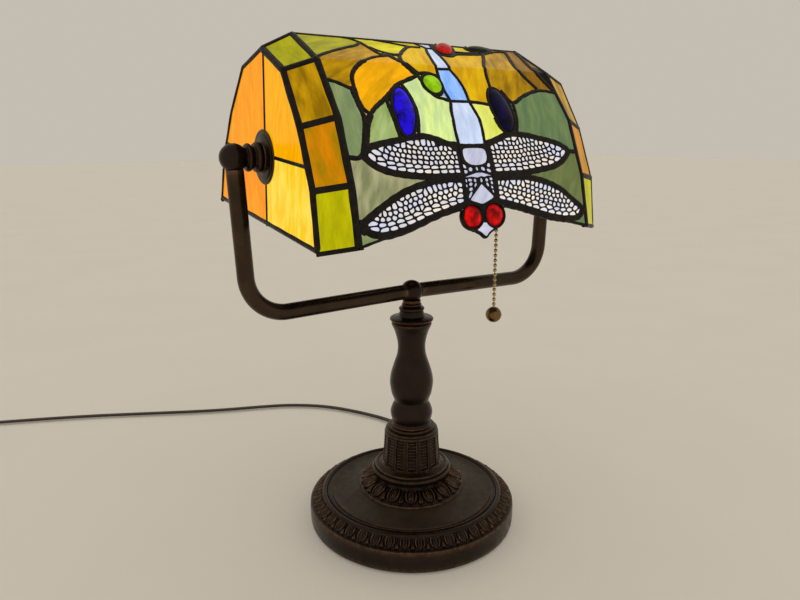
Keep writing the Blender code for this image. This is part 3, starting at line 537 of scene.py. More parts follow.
def stage():
    """Pale floor and an even sky of the same warm white."""
    pale = (*linear(236, 228, 214), 1.0)
    mat, nt, bsdf = tree("pale_floor", Roughness=0.7, Specular_IOR_Level=0.1,
                         Emission_Strength=0.12, Emission_Color=pale)
    feed(nt, bsdf, Base_Color=clouds(nt, 6.0, linear(236, 231, 222), linear(239, 234, 226), 3.0))
    verts = [(-9, -9, 0), (9, -9, 0), (9, 9, 0), (-9, 9, 0)]
    mesh = bpy.data.meshes.new("floor")
    mesh.from_pydata(verts, [], [(0, 1, 2, 3)])
    mesh.materials.append(mat)
    floor = place_object("floor", mesh, (0, 0, 0))
    world = bpy.data.worlds.new("studio")
    bpy.context.scene.world = world
    world.use_nodes = True
    sky = world.node_tree.nodes["Background"]
    sky.inputs["Color"].default_value = pale
    sky.inputs["Strength"].default_value = 0.66
    bpy.context.scene.view_settings.view_transform = "Standard"


# Studio lights: name, place, width of the panel, watts, colour
STUDIO_LIGHTS = [
    ("key", (-1.1, -0.9, 1.3), 0.9, 26.0, (1.0, 0.96, 0.90)),
    ("fill", (1.3, -0.7, 0.8), 1.0, 10.0, (1.0, 0.95, 0.88)),
    ("back", (0.2, 1.4, 1.1), 0.9, 14.0, (1.0, 0.97, 0.93)),
]
LIGHT_TARGET = Vector((0.0, 0.0, 0.18))
LAMP_GLOW_WATTS = 2.4
LAMP_GLOW_PLACE = (0.0, 0.010, 0.262)


def lights():
    """Three soft studio lights, and the lamp's own warm glow under the shade."""
    for name, place, size, power, colour in STUDIO_LIGHTS:
        data = bpy.data.lights.new(name, "AREA")
        data.size = size
        data.energy = power
        data.color = colour
        aim = LIGHT_TARGET - Vector(place)
        place_object(name, data, place, aim.to_track_quat("-Z", "Y"))
    data = bpy.data.lights.new("lamp_glow", "POINT")
    data.energy = LAMP_GLOW_WATTS
    data.color = (1.0, 0.74, 0.42)
    data.shadow_soft_size = 0.02
    place_object("lamp_glow", data, LAMP_GLOW_PLACE).visible_camera = False


# ---------------------------------------------------------------- mains lead

FLEX_WIDTH = 0.0055
FLEX_HEIGHT = 0.00275
FLEX_SIDES = 20
COIL_OUTER = 0.0350
COIL_INNER = 0.0240
COIL_START = math.radians(95.0)
LAYER = 0.0029
# Legs of the coil: turns, radii at its start and end, layers at its start and end
COIL_LEGS = [
    (2.0, COIL_OUTER, COIL_INNER, 0, 0), (0.9, COIL_INNER, COIL_INNER, 0, 1),
    (2.0, COIL_INNER, COIL_OUTER, 1, 1), (0.5, COIL_OUTER, COIL_OUTER, 1, 2),
    (0.78, COIL_OUTER, COIL_OUTER, 2, 2),
]
PLUG_BEARING = math.radians(200.0)
PLUG_HEADING = math.radians(250.0)
PLUG_REACH = 0.0461
PLUG_HEIGHT = 0.0076


def around_coil(radius, angle, height):
    return COIL_CENTRE + Vector((radius * math.cos(angle), radius * math.sin(angle), height))


def coil_path():
    """Turns of the coil: in along the bottom layer, out along the next, then off to the plug."""
    points = []
    turned = 0.0
    for turns, r0, r1, layer0, layer1 in COIL_LEGS:
        count = round(turns * 24)
        for i in range(count):
            share = i / count
            level = layer0 + (layer1 - layer0) * (share * share * (3 - 2 * share))
            points.append(around_coil(r0 + (r1 - r0) * share,
                                      COIL_START + 2 * math.pi * (turned + turns * share),
                                      FLOOR_LINE + LAYER * level))
        turned += turns
    points.append(around_coil(COIL_OUTER, COIL_START + 2 * math.pi * turned,
                              FLOOR_LINE + 2 * LAYER))
    return points


def plug_line():
    """Where the lead enters the plug, and the direction the plug points."""
    tip = around_coil(PLUG_REACH, PLUG_BEARING, PLUG_HEIGHT)
    return tip, Vector((math.cos(PLUG_HEADING), math.sin(PLUG_HEADING), 0))


def flex_route():
    """Points of the whole lead: from the foot over the floor, round the coil, into the plug."""
    lead = [Vector(point) for point in CORD_ROUTE]
    join = [COIL_CENTRE + Vector((0.0205, 0.0384, FLOOR_LINE)),
            COIL_CENTRE + Vector((0.0080, 0.0374, FLOOR_LINE))]
    tip, heading = plug_line()
    return lead + join + coil_path() + [tip - heading * 0.010, tip + heading * 0.002]


def flex():
    """Flat twin lead, one spline from the gland to the plug."""
    route = spline([tuple(p) for p in flex_route()], 0.0022)
    run = along(route)
    flat = np.cross(run, (0, 0, 1))
    flat /= np.maximum(np.linalg.norm(flat, axis=1, keepdims=True), 1e-9)
    rise = np.cross(flat, run)
    turn = round_turn(FLEX_SIDES)
    waist = 1 - 0.34 * np.exp(-(np.cos(turn) / 0.26) ** 2)
    wide = np.cos(turn) * FLEX_WIDTH / 2
    tall = flattened(np.sin(turn), 0.7) * FLEX_HEIGHT / 2 * waist
    verts = (route[:, None] + flat[:, None] * wide[None, :, None]
             + rise[:, None] * tall[None, :, None]).reshape(-1, 3)
    cord = piece("mains_flex", verts, tube_faces(len(route), FLEX_SIDES), FLEX, ROOT,
                 "cord_plastic", ("cord_lead", "cord_coil"), 60.0)


def coil_tie():
    """Flat twist-tie band round one side of the coil."""
    low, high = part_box("cord_tie")
    middle = (low + high) / 2
    half_y = (high.y - low.y) / 2 - 0.0005
    half_z = (high.z - low.z) / 2 - 0.0005
    turn = round_turn(40)
    loop = np.stack([np.full(40, middle.x), middle.y + half_y * flattened(np.cos(turn), 0.45),
                     middle.z + half_z * flattened(np.sin(turn), 0.45)], 1)
    side = np.tile((1.0, 0.0, 0.0), (len(loop), 1))
    out = np.cross(side, along(loop, True))
    band = sweep(loop, side, out, 0.0022, 0.00045, 10, True)
    piece("coil_tie", *band, PLUG, ROOT, "cord_plastic", ("cord_tie",), 60.0)


# Plug from the lead's end to its face: distance along it, half width, half height
PLUG_SECTIONS = np.array([
    (0.0, .0050, .0031), (.004, .0052, .0033), (.010, .0066, .0042), (.016, .0106, .0068),
    (.024, .0116, .0072), (.034, .0117, .0073), (.0385, .0112, .0070), (.0400, .0100, .0062),
]).T
PLUG_SIDES = 36
PLUG_SQUARENESS = 0.62


def plug():
    """Moulded two-blade plug with a waisted grip and finger ridges."""
    tip, heading = plug_line()
    stations = np.linspace(0.0, PLUG_SECTIONS[0, -1], 90)
    half_wide = np.interp(stations, PLUG_SECTIONS[0], PLUG_SECTIONS[1])
    half_tall = np.interp(stations, PLUG_SECTIONS[0], PLUG_SECTIONS[2])
    ridge = bump(((stations * 1000) % 2.2) - 1.1, 0.8) * ((stations > 0.0165) & (stations < 0.033))
    half_wide = half_wide - 0.0005 * ridge
    turn = round_turn(PLUG_SIDES)
    across = np.array((-heading.y, heading.x, 0))[None, None]
    middles = np.array(tip) + stations[:, None] * np.array(heading)
    wide = (half_wide[:, None] * flattened(np.cos(turn), PLUG_SQUARENESS))[..., None]
    tall = (half_tall[:, None] * flattened(np.sin(turn), PLUG_SQUARENESS))[..., None]
    verts = middles[:, None] + across * wide + np.array((0, 0, 1)) * tall
    piece("moulded_plug", verts.reshape(-1, 3), tube_faces(len(stations), PLUG_SIDES), PLUG,
          ROOT, "cord_plastic", ("plug_body",), 50.0)


def gland():
    """Ribbed, tapered gland where the lead leaves the back of the foot."""
    profile = [(0.0, 0.1142), (0.0028, 0.1142), (0.0034, 0.1136)]
    for i in range(6):
        near = 0.1120 - 0.0028 * i
        girth = 0.0038 + 0.00030 * i
        profile += [(girth, near), (girth + 0.0005, near - 0.0004), (girth + 0.0005, near - 0.0015),
                    (girth, near - 0.0019)]
    profile += [(0.0056, 0.0945), (0.0064, 0.0930), (0.0064, 0.0866), (0.0041, 0.0864),
                (0.0041, 0.0800), (0.0, 0.0800)]
    turn = (Matrix.Translation((0, 0, CORD_EXIT_Z)) @ Matrix.Rotation(CORD_EXIT_ANGLE, 4, "Z")
            @ Matrix.Rotation(math.pi / 2, 4, "Y"))
    lathe("lead_gland", profile, 40, FLEX, ("strain_relief",), slot="cord_plastic", matrix=turn)


# ---------------------------------------------------------------- base and column

def petal(u, v):
    """Height of a raised leaf: u runs across one period from -1 to 1, v from root to tip."""
    half = 0.72 * np.sqrt(np.clip(1 - (np.clip(v - 0.42, 0, None) / 0.56) ** 2, 0.0004, 1))
    half = half * (0.84 + 0.16 * smoothstep(0.0, 0.35, v))
    edge = np.abs(u) / half
    inside = smoothstep(1.10, 0.90, edge)
    border = bump(edge - 0.80, 0.26)
    middle = smoothstep(0.62, 0.30, edge)
    veins = bump(u, 0.09) + bump(np.abs(u) - 0.21, 0.08)
    veins = veins * smoothstep(0.78, 0.60, v)
    leaf = inside * (0.34 + 0.56 * border + 0.30 * middle + 0.30 * veins * middle)
    gap = 1 - np.abs(u)
    flare = 0.09 + 0.29 * smoothstep(0.35, 0.90, v) ** 1.4
    foot = np.sqrt(np.clip(1 - (np.clip(v - 0.86, 0, None) / 0.13) ** 2, 0, 1))
    dart = smoothstep(1.0, 0.35, gap / (flare * np.maximum(foot, 0.001)))
    dart = dart * (0.55 + 0.45 * smoothstep(0.30, 0.85, v)) * smoothstep(1.0, 0.97, v)
    return np.maximum(leaf * smoothstep(1.0, 0.97, v), dart)


def leaf_relief(count, inner, outer, rise):
    """Relief function of a ring of leaves between two radii."""
    def raised(angle, radius, height):
        u = 2 * ((angle * count / (2 * math.pi)) % 1.0) - 1
        v = (radius - inner) / (outer - inner)
        here = (v >= 0) & (v <= 1)
        return np.where(here, rise * petal(u, np.clip(v, 0, 1)), 0.0)
    return raised


FOOT_LEAVES = 44
FOOT_LEAF_BAND = (0.0754, 0.0826)
DISH_LEAVES = 16
DISH_LEAF_BAND = (0.0308, 0.0420)


def leaf_band():
    """Upright wall of the foot, with a ring of small leaves on its shoulder."""
    low = 0.0018
    rim = [(0.0752, 0.0248)] + resample([(0.0754, 0.0246), (0.0827, 0.0194)], 0.00024)
    rim += [(0.0830, 0.01925), (0.0847, 0.0191), (0.0853, 0.0188), (0.0856, 0.0181),
            (0.0858, 0.0150), (0.0858, 0.0100), (0.0857, 0.0060), (0.0854, 0.0034),
            (0.0849, 0.0022), (0.0842, low), (0.0805, low), (0.0805, 0.0150), (0.0752, 0.0205)]
    leaves = leaf_relief(FOOT_LEAVES, *FOOT_LEAF_BAND, 0.0019)

    def outside(angle, radius, height):
        return np.where(height > 0.01935, leaves(angle, radius, height), 0.0)

    lathe("foot_leaf_band", rim, FOOT_LEAVES * 26, CAST, ("base_casting",), ring=True,
          raised=outside)


def foot():
    """The foot in three zones: wall with leaf band, broad ring, powdery plate; felt below."""
    leaf_band()
    rings = [(0.0678, 0.0258), (0.0684, 0.0254), (0.0692, 0.0253), (0.0702, 0.0255),
             (0.0709, 0.0259), (0.0712, 0.0256)]
    rings += arc(0.0734, 0.0248, 0.0024, 155, -5, 18)
    rings += [(0.0752, 0.0246), (0.0752, 0.0205), (0.0678, 0.0228)]
    lathe("foot_ring", rings, 240, BRONZE, ring=True)
    plate = [(0.0400, 0.0300), (0.0440, 0.0296), (0.0475, 0.0286), (0.0520, 0.0276),
             (0.0560, 0.0270), (0.0600, 0.0267), (0.0635, 0.0268), (0.0660, 0.0273),
             (0.0668, 0.0276), (0.0673, 0.0276), (0.0676, 0.0273), (0.0678, 0.0266),
             (0.0678, 0.0228), (0.0052, 0.0262), (0.0052, 0.0295)]
    lathe("foot_plate", resample(plate, 0.002), 200, POWDER, ring=True)
    pad = [(0, 0.0015), (0.0822, 0.0015), (0.0825, 0.0012), (0.0825, 0.0002), (0.0822, 0.0),
           (0, 0.0)]
    lathe("felt_disc", pad, 160, FELT, ("felt_pad",), slot="felt")


def dish():
    """Leaf collar with its cove and the ringed dish above it."""
    profile = [(0.0052, DISH_Z), (0.0249, DISH_Z), (0.0256, 0.0503), (0.0264, 0.0497),
               (0.0272, 0.0493), (0.0281, 0.0490)]
    profile += arc(0.0294, 0.0482, 0.0013, 165, -20, 10)
    profile += [(0.0307, 0.0468)] + arc(0.0309, 0.0451, 0.0020, 75, -85, 14)
    profile += [(0.0300, 0.0430), (0.0293, 0.0412), (0.0292, 0.0396), (0.0300, 0.0382)]
    skirt = [(0.0308, 0.0377), (0.0345, 0.0366), (0.0385, 0.0347), (0.0418, 0.0324)]
    profile += resample(skirt, 0.00025)
    profile += [(0.0424, 0.0318), (0.0437, 0.0312), (0.0440, 0.0306), (0.0440, 0.0298),
                (0.0400, 0.0298), (0.0270, 0.0345), (0.0250, 0.0460), (0.0052, 0.0460)]
    leaves = leaf_relief(DISH_LEAVES, *DISH_LEAF_BAND, 0.0026)

    def outside(angle, radius, height):
        skin = height > np.interp(radius, [0.0308, 0.0422], [0.0368, 0.0314])
        return np.where(skin & (height < 0.0384), leaves(angle, radius, height), 0.0)

    lathe("leaf_dish", profile, DISH_LEAVES * 44, CAST, ("leaf_collar",), ring=True,
          raised=outside)


FLUTES = 14
FLUTE_LOW = 0.0522
FLUTE_HIGH = 0.0768
FLUTE_WIDTH = 0.68
LADDER_STEP = 0.00265


def flutes(angle, radius, height):
    """Recessed flutes with ladder bars, square at the top and open at the bottom."""
    u = 2 * ((angle * FLUTES / (2 * math.pi) + 0.25) % 1.0) - 1
    edge = np.abs(u) / FLUTE_WIDTH
    inside = smoothstep(1.06, 0.90, edge) * smoothstep(FLUTE_HIGH, FLUTE_HIGH - 0.0006, height)
    inside = inside * smoothstep(FLUTE_LOW - 0.0014, FLUTE_LOW, height)
    bars = bump(((height - FLUTE_LOW) / LADDER_STEP) % 1.0 - 0.5, 0.42)
    depth = -0.0016 + 0.0010 * bars * smoothstep(0.98, 0.86, edge)
    scallop = 0.0007 * smoothstep(FLUTE_LOW - 0.0002, FLUTE_LOW - 0.0012, height) * bump(u, 0.9)
    return np.where((radius > 0.0218) & (height < 0.0776), inside * depth + scallop, 0.0)


def fluted_sleeve():
    profile = [(0.0052, SLEEVE_Z), (0.0172, SLEEVE_Z), (0.0178, 0.0837)]
    profile += arc(0.0181, 0.0825, 0.0012, 85, -50, 9) + [(0.0190, 0.0813)]
    profile += arc(0.0203, 0.0797, 0.0014, 105, -35, 9)
    profile += [(0.0217, 0.0786), (0.0222, 0.0782), (0.0224, 0.0777)]
    wall = [(0.0224, 0.0774), (0.0226, 0.0708), (0.0236, 0.0572), (0.0239, 0.0512)]
    profile += resample(wall, 0.00018)
    profile += [(0.0238, 0.0508), (0.0214, 0.0508), (0.0200, 0.0765), (0.0160, 0.0795),
                (0.0052, 0.0795)]
    lathe("fluted_sleeve", profile, FLUTES * 40, CAST, ("fluted_collar",), ring=True,
          raised=flutes)


def turned_vase():
    outline = spline([(0.0150, 0.1722), (0.0162, 0.1702), (0.0138, 0.1645), (0.0117, 0.1570),
                      (0.0111, 0.1510), (0.0118, 0.1445), (0.0142, 0.1370), (0.0168, 0.1285),
                      (0.0177, 0.1210), (0.0166, 0.1125), (0.0146, 0.1065), (0.0141, 0.1042),
                      (0.0160, 0.1000), (0.0173, 0.0955), (0.0168, 0.0910), (0.0155, 0.0868),
                      (0.0159, 0.0852), (0.0165, 0.0841)], 0.0008)
    hollow = [(0.0130, 0.0841), (0.0118, 0.1000), (0.0112, 0.1050), (0.0140, 0.1215),
              (0.0122, 0.1370), (0.0082, 0.1500), (0.0086, 0.1580), (0.0122, 0.1690),
              (0.0052, 0.1695)]
    lathe("turned_vase", [(0.0052, 0.1722), *map(tuple, outline), *hollow], 120, BRONZE,
          ("column_vase",), ring=True)


def ringed_cap():
    """Neck under the hub with its two rings, and the wide flange over the vase."""
    profile = [(0.0052, BAR_Z - 0.0068), (0.0068, BAR_Z - 0.0068), (0.0073, BAR_Z - 0.0072)]
    profile += [(0.0073, 0.1886), (0.0071, 0.1874)] + arc(0.0065, 0.1858, 0.0015, 80, -70, 8)
    profile += [(0.0076, 0.1842)] + arc(0.0086, 0.1826, 0.0016, 95, -70, 10)
    profile += [(0.0094, 0.1806), (0.0100, 0.1790), (0.0104, 0.1768), (0.0120, 0.1760),
                (0.0158, 0.1757)]
    profile += arc(0.0162, 0.1742, 0.0013, 90, -85, 10) + [(0.0156, 0.1725), (0.0052, 0.1725)]
    lathe("ringed_cap", profile, 96, BRONZE, ("column_cap",), ring=True)


def hub():
    """Ball over the column, cut flat where the two halves of the yoke meet it."""
    seat = 0.0066
    rim = math.degrees(math.acos(seat / HUB_RADIUS))
    ball = [(0.0, seat)] + arc(0, 0, HUB_RADIUS, 90 - rim, rim - 90, 40) + [(0.0, -seat)]
    lathe("hub_sphere", ball, 72, BRONZE, ("hub_ball",), matrix=sideways(1, height=BAR_Z))


# ---------------------------------------------------------------- yoke

def arm_x(height):
    return CORNER_X + (height - BAR_Z) * math.tan(ARM_LEAN)


BALL_X = arm_x(PIVOT_Z)


def yoke_line():
    """Centre line of the right half of the yoke: level bar, round bend, leaning arm."""
    bar = Vector((math.cos(BAR_DROOP), 0, -math.sin(BAR_DROOP)))
    arm = Vector((math.sin(ARM_LEAN), 0, math.cos(ARM_LEAN)))
    start = Vector((0.0069, 0, BAR_Z))
    end = Vector((BALL_X, 0, PIVOT_Z)) - arm * 0.0077
    elbow = start + bar * ((CORNER_X - start.x) / math.cos(BAR_DROOP))
    elbow.x = arm_x(elbow.z)
    turn = bar.angle(arm)
    setback = bar * BEND_RADIUS * math.tan(turn / 2)
    centre = elbow - setback + BEND_RADIUS * Vector((math.sin(BAR_DROOP), 0, math.cos(BAR_DROOP)))
    spoke = elbow - setback - centre
    bend = [centre + Matrix.Rotation(-turn * i / 36, 3, "Y") @ spoke for i in range(37)]
    straight = [start.lerp(bend[0], i / 30) for i in range(30)]
    rise = [bend[-1].lerp(end, (i + 1) / 20) for i in range(20)]
    return straight + bend + rise


def yoke():
    line = yoke_line()
    for side, name in SIDES:
        points = np.array([(side * p.x, p.y, p.z) for p in line])
        depth = np.tile((0.0, 1.0, 0.0), (len(points), 1))
        across = np.cross(along(points), depth)
        verts, faces = sweep(points, across, depth, TUBE_RADIUS, TUBE_RADIUS, 40)
        piece("yoke_bar_" + name, verts, faces, TUBE, ROOT, "bronze", ("yoke_tube_" + name,), 50.0)


BORE = STUD_RADIUS + 0.0003


def pivot_ball():
    """Ball on the end of an arm, cut flat and drilled on the side of the stud."""
    seat = 0.0071
    rim = math.degrees(math.asin(seat / BALL_RADIUS))
    return arc(0, 0, BALL_RADIUS, 90, -rim, 44) + [(BORE, -seat), (BORE, 0.0020), (0, 0.0020)]


def pivot_collar():
    """Collar between the ball and the shade, with a small and a larger ring."""
    outer = BALL_X - 0.0074
    inner = 0.1201
    collar = [(BORE, outer), (0.0072, outer), (0.0076, outer - 0.0004)]
    collar += arc(0.0074, 0.1290, 0.0018, 65, -70, 9)
    collar += [(0.0074, 0.1268), (0.0072, 0.1256), (0.0078, 0.1248)]
    collar += arc(0.0076, 0.1228, 0.0023, 65, -60, 9)
    return collar + [(0.0102, 0.1209), (0.0106, 0.1205), (0.0106, inner), (BORE, inner)]


def pivot_plate():
    """Domed, stepped plate on the glass of the shade's end."""
    low = END_X + 0.0003
    return [(BORE, 0.1198), (0.0110, 0.1198), (0.0116, 0.1195), (0.0122, 0.1193),
            (0.0146, 0.1193), (0.0152, 0.1190), (0.0157, 0.1186), (0.0170, 0.1186),
            (0.0178, 0.1182), (0.0181, 0.1178), (0.0180, low), (BORE, low)]


def pivots():
    """Balls, ringed collars and domed plates on both ends of the tilt axis."""
    for side, name in SIDES:
        lathe("arm_sphere_" + name, pivot_ball(), 72, BRONZE, ("arm_ball_" + name,),
              matrix=sideways(side, side * BALL_X))
        lathe("ringed_collar_" + name, pivot_collar(), 80, BRONZE, ("pivot_collar_" + name,),
              ring=True, matrix=sideways(side))
        lathe("domed_plate_" + name, pivot_plate(), 96, BRONZE, ("escutcheon_" + name,),
              SHADE_BODY, ring=True, matrix=SHADE @ Matrix.Rotation(side * math.pi / 2, 4, "Y"))


# ---------------------------------------------------------------- shade: surfaces

def lengths(section):
    steps = [math.hypot(b[0] - a[0], b[1] - a[1]) for a, b in zip(section, section[1:])]
    return np.concatenate([[0.0], np.cumsum(steps)])


BARREL_RUN = lengths(BARREL)
RIM_S = float(BARREL_RUN[-1])


def on_barrel(x, down, lift=0.0, side=-1):
    """World points on the barrel: across, down from the apex, out of its surface."""
    x, down, lift = np.broadcast_arrays(np.asarray(x, float), down, lift)
    halves = [p[0] for p in BARREL]
    heights = [p[1] for p in BARREL]
    last = np.array(BARREL[-1]) - np.array(BARREL[-2])
    last /= np.linalg.norm(last)
    over = np.clip(down - RIM_S, 0, None)

    def at(s):
        return (np.interp(s, BARREL_RUN, halves) + over * last[0],
                np.interp(s, BARREL_RUN, heights) + over * last[1])

    step = 0.0006
    here = at(down)
    low = at(np.minimum(down + step, RIM_S))
    high = at(np.minimum(down, RIM_S - step) - step)
    run = np.stack([low[0] - high[0], low[1] - high[1]])
    run /= np.linalg.norm(run, axis=0)
    y = here[0] - run[1] * lift
    z = here[1] + run[0] * lift
    local = np.stack([x, side * y + SHADE_SHIFT, z, np.ones_like(x)], -1)
    return (local @ np.array(SHADE).T)[..., :3]


def corner(section, index, side, x, depth=0.0):
    """Corner of a section in the shade's frame, moved in square to the faces beside it."""
    half, height = section[index]
    normal = Vector((0.0, 0.0))
    for (y0, z0), (y1, z1) in zip(section, section[1:]):
        if (half, height) in ((y0, z0), (y1, z1)):
            normal += Vector((z0 - z1, y1 - y0)).normalized()
    if index == 0:
        normal = Vector((0.0, 1.0))
    normal.normalize()
    return Vector((x, side * (half - normal.x * depth) + SHADE_SHIFT, height - normal.y * depth))


FOLDS = [(i, -1) for i in (4, 3, 2, 1, 0)] + [(i, 1) for i in (1, 2, 3, 4)]


# Sizes on the front, in millimetres: across from the middle, down from the apex
GLASS_X = 94.6
GLASS_TOP = 1.6
FRONT_CORNER = 163.6
BACK_CORNER = 163.0
LOBE_X = 22.0
LOBE_DOWN = 145.5
EYE_X = 9.3
EYE_DOWN = 151.5
EYE_CAME = 8.0
EYE_OPENING = 8.7
EYE_RING = 8.25
EYE_BROW = 9.2
CHIN = 165.5
CHIN_STUB = [(9.4, 160.5), (6.7, 160.7)]


def lower_edge(x):
    """How far down the front's lower edge is, outside the loops round the eyes."""
    share = (abs(x) - LOBE_X) / (BARREL_X / MM - LOBE_X)
    return LOBE_DOWN + (RIM_S / MM - LOBE_DOWN) * max(share, 0.0) ** 0.9


def round_eye(radius, angles):
    """Points round the right eye; the angles run upwards from its outer side."""
    return [(EYE_X + radius * math.cos(a), EYE_DOWN - radius * math.sin(a)) for a in angles]


def mirrored(points, side):
    return [(side * x, s) for x, s in points]


def rim_outline():
    """The lower edge of the front from left to right, with the loops round the eyes."""
    right = [(x, lower_edge(x)) for x in (94.0, 85.0, 70.0, 55.0, 40.0, 30.0, 22.5)]
    right += round_eye(EYE_CAME, np.radians([30, 2, -26, -54]))
    right.append((4.5, CHIN - 3.2))
    return mirrored(right, -1) + [(0.0, CHIN)] + right[::-1]


def within(points, polygon):
    """Which points, an array of pairs, lie inside a polygon."""
    x, y = points[..., 0], points[..., 1]
    inside = np.zeros(x.shape, bool)
    for (x0, y0), (x1, y1) in zip(polygon, polygon[1:] + polygon[:1]):
        crosses = (y0 > y) != (y1 > y)
        reach = x0 + (y - y0) * (x1 - x0) / ((y1 - y0) or 1e-12)
        inside ^= crosses & (x < reach)
    return inside


# ---------------------------------------------------------------- shade: colours of the panes
# Screen colours of each kind of glass, as two tones that swirl together

OLIVE = ((142, 140, 0), (170, 166, 2))
AMBER = ((204, 152, 0), (224, 182, 4))
DEEP_AMBER = ((140, 104, 0), (196, 148, 4))
SHADY_AMBER = ((120, 84, 0), (146, 104, 4))
BURNT = ((206, 128, 0), (160, 122, 0))
FLAME = ((214, 154, 0), (250, 176, 4))
LEMON = ((224, 212, 8), (186, 176, 10))
STRAW = ((212, 196, 44), (190, 160, 24))
CHARTREUSE = ((208, 218, 76), (228, 230, 112))
PALE_GREEN = ((196, 218, 150), (224, 244, 150))
MOSS = ((136, 160, 84), (168, 186, 122))
SAGE = ((90, 116, 78), (112, 130, 82))
GREY_SAGE = ((116, 136, 92), (136, 150, 98))
HAZE = ((128, 132, 92), (176, 172, 130))
DULL_GREEN = ((96, 110, 62), (114, 122, 74))
SKY = ((98, 160, 250), (152, 192, 255))
MILK = ((194, 208, 238), (212, 226, 252))
LILAC = ((186, 188, 212), (206, 208, 226))
WING_GLASS = ((240, 230, 216), (212, 216, 236))
# Glows of the end panels' quarters; the lower front one is painted brighter and yellower, where the
# bulb lights it most
GLOW_TOP = ((255, 178, 0), (246, 168, 0))
GLOW_BACK = ((255, 160, 0), (246, 150, 0))
GLOW_LOW = ((252, 200, 24), (255, 222, 80))
GLOW_LOW_BACK = ((255, 158, 4), (248, 142, 0))
YELLOW_GREEN = ((168, 164, 0), (190, 184, 4))
SOLDER = ((6, 5, 4), (10, 8, 7))

# How much wider a lead is at its middle than where it meets the glass
SWELL = 1.36
WING_LEAD = 4.4
GEM_LEAD = 3.4
GEM_MARGIN = 1.1

# Leads of the front, in millimetres: across, down from the apex. Each is (width, points)
FRONT_LEADS = [
    # body, segment by segment
    (2.6, [(-2, 1), (0.5, 5), (3.5, 9.5), (0.6, 17), (-2.4, 26), (-6.3, 38), (-7.6, 44)]),
    (2.6, [(12, 1), (11, 6), (9.7, 10), (8.8, 18), (7, 30), (4.4, 40), (3.6, 44)]),
    (2.6, [(-7.6, 44), (-8.8, 53), (-8.8, 62), (-7.2, 71)]),
    (2.6, [(3.6, 44), (7.2, 52), (8.9, 61), (8.4, 71)]),
    (2.6, [(-7.2, 71), (-10.6, 81), (-11.7, 92), (-11.2, 104)]),
    (2.6, [(8.4, 71), (10.3, 82), (11.2, 92), (10.6, 104)]),
    (2.4, [(3.5, 9.5), (9.7, 10)]),
    (2.2, [(-7.6, 44), (3.6, 43.6)]),
    (2.4, [(-7.2, 71), (8.4, 71)]),
    (2.6, [(-13, 103.8), (-6, 104), (6, 104), (12.5, 103.4)]),
    (5.4, [(-0.6, 145), (-0.9, 150), (-1.1, 156)]),
    # left of the body
    (3.0, [(-94, 38), (-88, 33.5), (-78, 27), (-66, 20), (-56, 14.5), (-49.5, 8)]),
    (3.0, [(-60, 1.5), (-55, 3), (-49.5, 8)]),
    (3.4, [(-49.5, 8), (-47, 17), (-45, 25), (-42, 30)]),
    (3.0, [(-77.4, 62), (-76, 54), (-71, 47), (-62, 40), (-52, 33.5), (-42, 30)]),
    (5.0, [(-42, 30), (-38, 26), (-36, 33), (-31, 43), (-25.5, 50.5)]),
    (4.4, [(-38, 25), (-33, 26.5), (-28, 26)]),
    (3.0, [(-46, 16), (-42, 21.5), (-36, 25), (-28, 26), (-22, 19.5), (-14, 11.5), (-9.5, 9)]),
    (3.2, [(-28, 26), (-32, 37), (-27.5, 45), (-24, 48.8)]),
    (3.0, [(-36, 1.5), (-26, 4), (-15, 7.5), (-9.5, 9), (-1, 9)]),
    (3.0, [(-25, 49), (-17, 48), (-8.6, 50.5)]),
    (3.2, [(-25.5, 50.5), (-35, 54.6), (-45, 59.4), (-53, 66), (-60, 72), (-68, 78), (-73, 83)]),
    (4.6, [(-73, 83), (-77.5, 91), (-80, 100), (-82, 105)]),
    (3.2, [(-77.4, 62), (-77.8, 72), (-76.4, 79), (-73, 83)]),
    (3.0, [(-94, 57.6), (-88, 59.5), (-80.5, 63.4), (-77.4, 62)]),
    (3.4, [(-79.8, 64), (-79, 76), (-78.4, 86), (-80.6, 97), (-84, 107)]),
    (3.0, [(-41.5, 58), (-38.6, 67), (-37.8, 78), (-39.6, 88), (-41.6, 99)]),
    (3.0, [(-57.4, 71), (-57.4, 84), (-55.4, 98)]),
    (3.0, [(-25.5, 50.5), (-23, 60), (-18.5, 67), (-12, 69.4), (-7.2, 71)]),
    # right of the body
    (3.4, [(9.7, 20), (17, 22.4), (26, 17.4), (40, 15.6), (54, 13)]),
    (3.0, [(29, 12.6), (40, 12.4), (50, 10.6)]),
    (3.0, [(54, 13), (47, 24), (38.4, 36.5), (34.8, 46), (33, 58)]),
    (3.0, [(54, 13), (62, 9.4), (70, 6), (81, 4.5)]),
    (3.6, [(83, 2), (79, 13), (73, 26), (69, 37), (69.4, 44), (78, 57.5)]),
    (4.2, [(94, 3), (91, 16), (87, 30), (85.4, 41), (89, 50), (94, 58)]),
    (3.0, [(41.6, 60), (47.6, 70.6), (60, 64.8), (72, 60.2), (82, 58.6), (94, 60)]),
    (3.0, [(8.4, 71), (16, 71.6), (25.6, 73)]),
    (3.2, [(24.6, 84), (27, 90), (32, 95.4)]),
    (3.0, [(47.6, 70.6), (46.2, 78), (44, 87), (41.6, 95)]),
    # between the wings and beyond their tips
    (3.2, [(-94, 110.6), (-88, 111), (-84, 108.6)]),
    (3.2, [(94, 109.4), (90, 109.2), (86, 107.6)]),
    (3.4, [(-94, 149.6), (-89.6, 151), (-93, 157)]),
    (3.4, [(94, 151), (91.5, 154), (87, 159)]),
    (3.0, [(-13.2, 141.6), (-13.6, 126), (-13.2, 104)]),
    (3.0, [(11.8, 141.6), (12.4, 126), (12.4, 104)]),
]
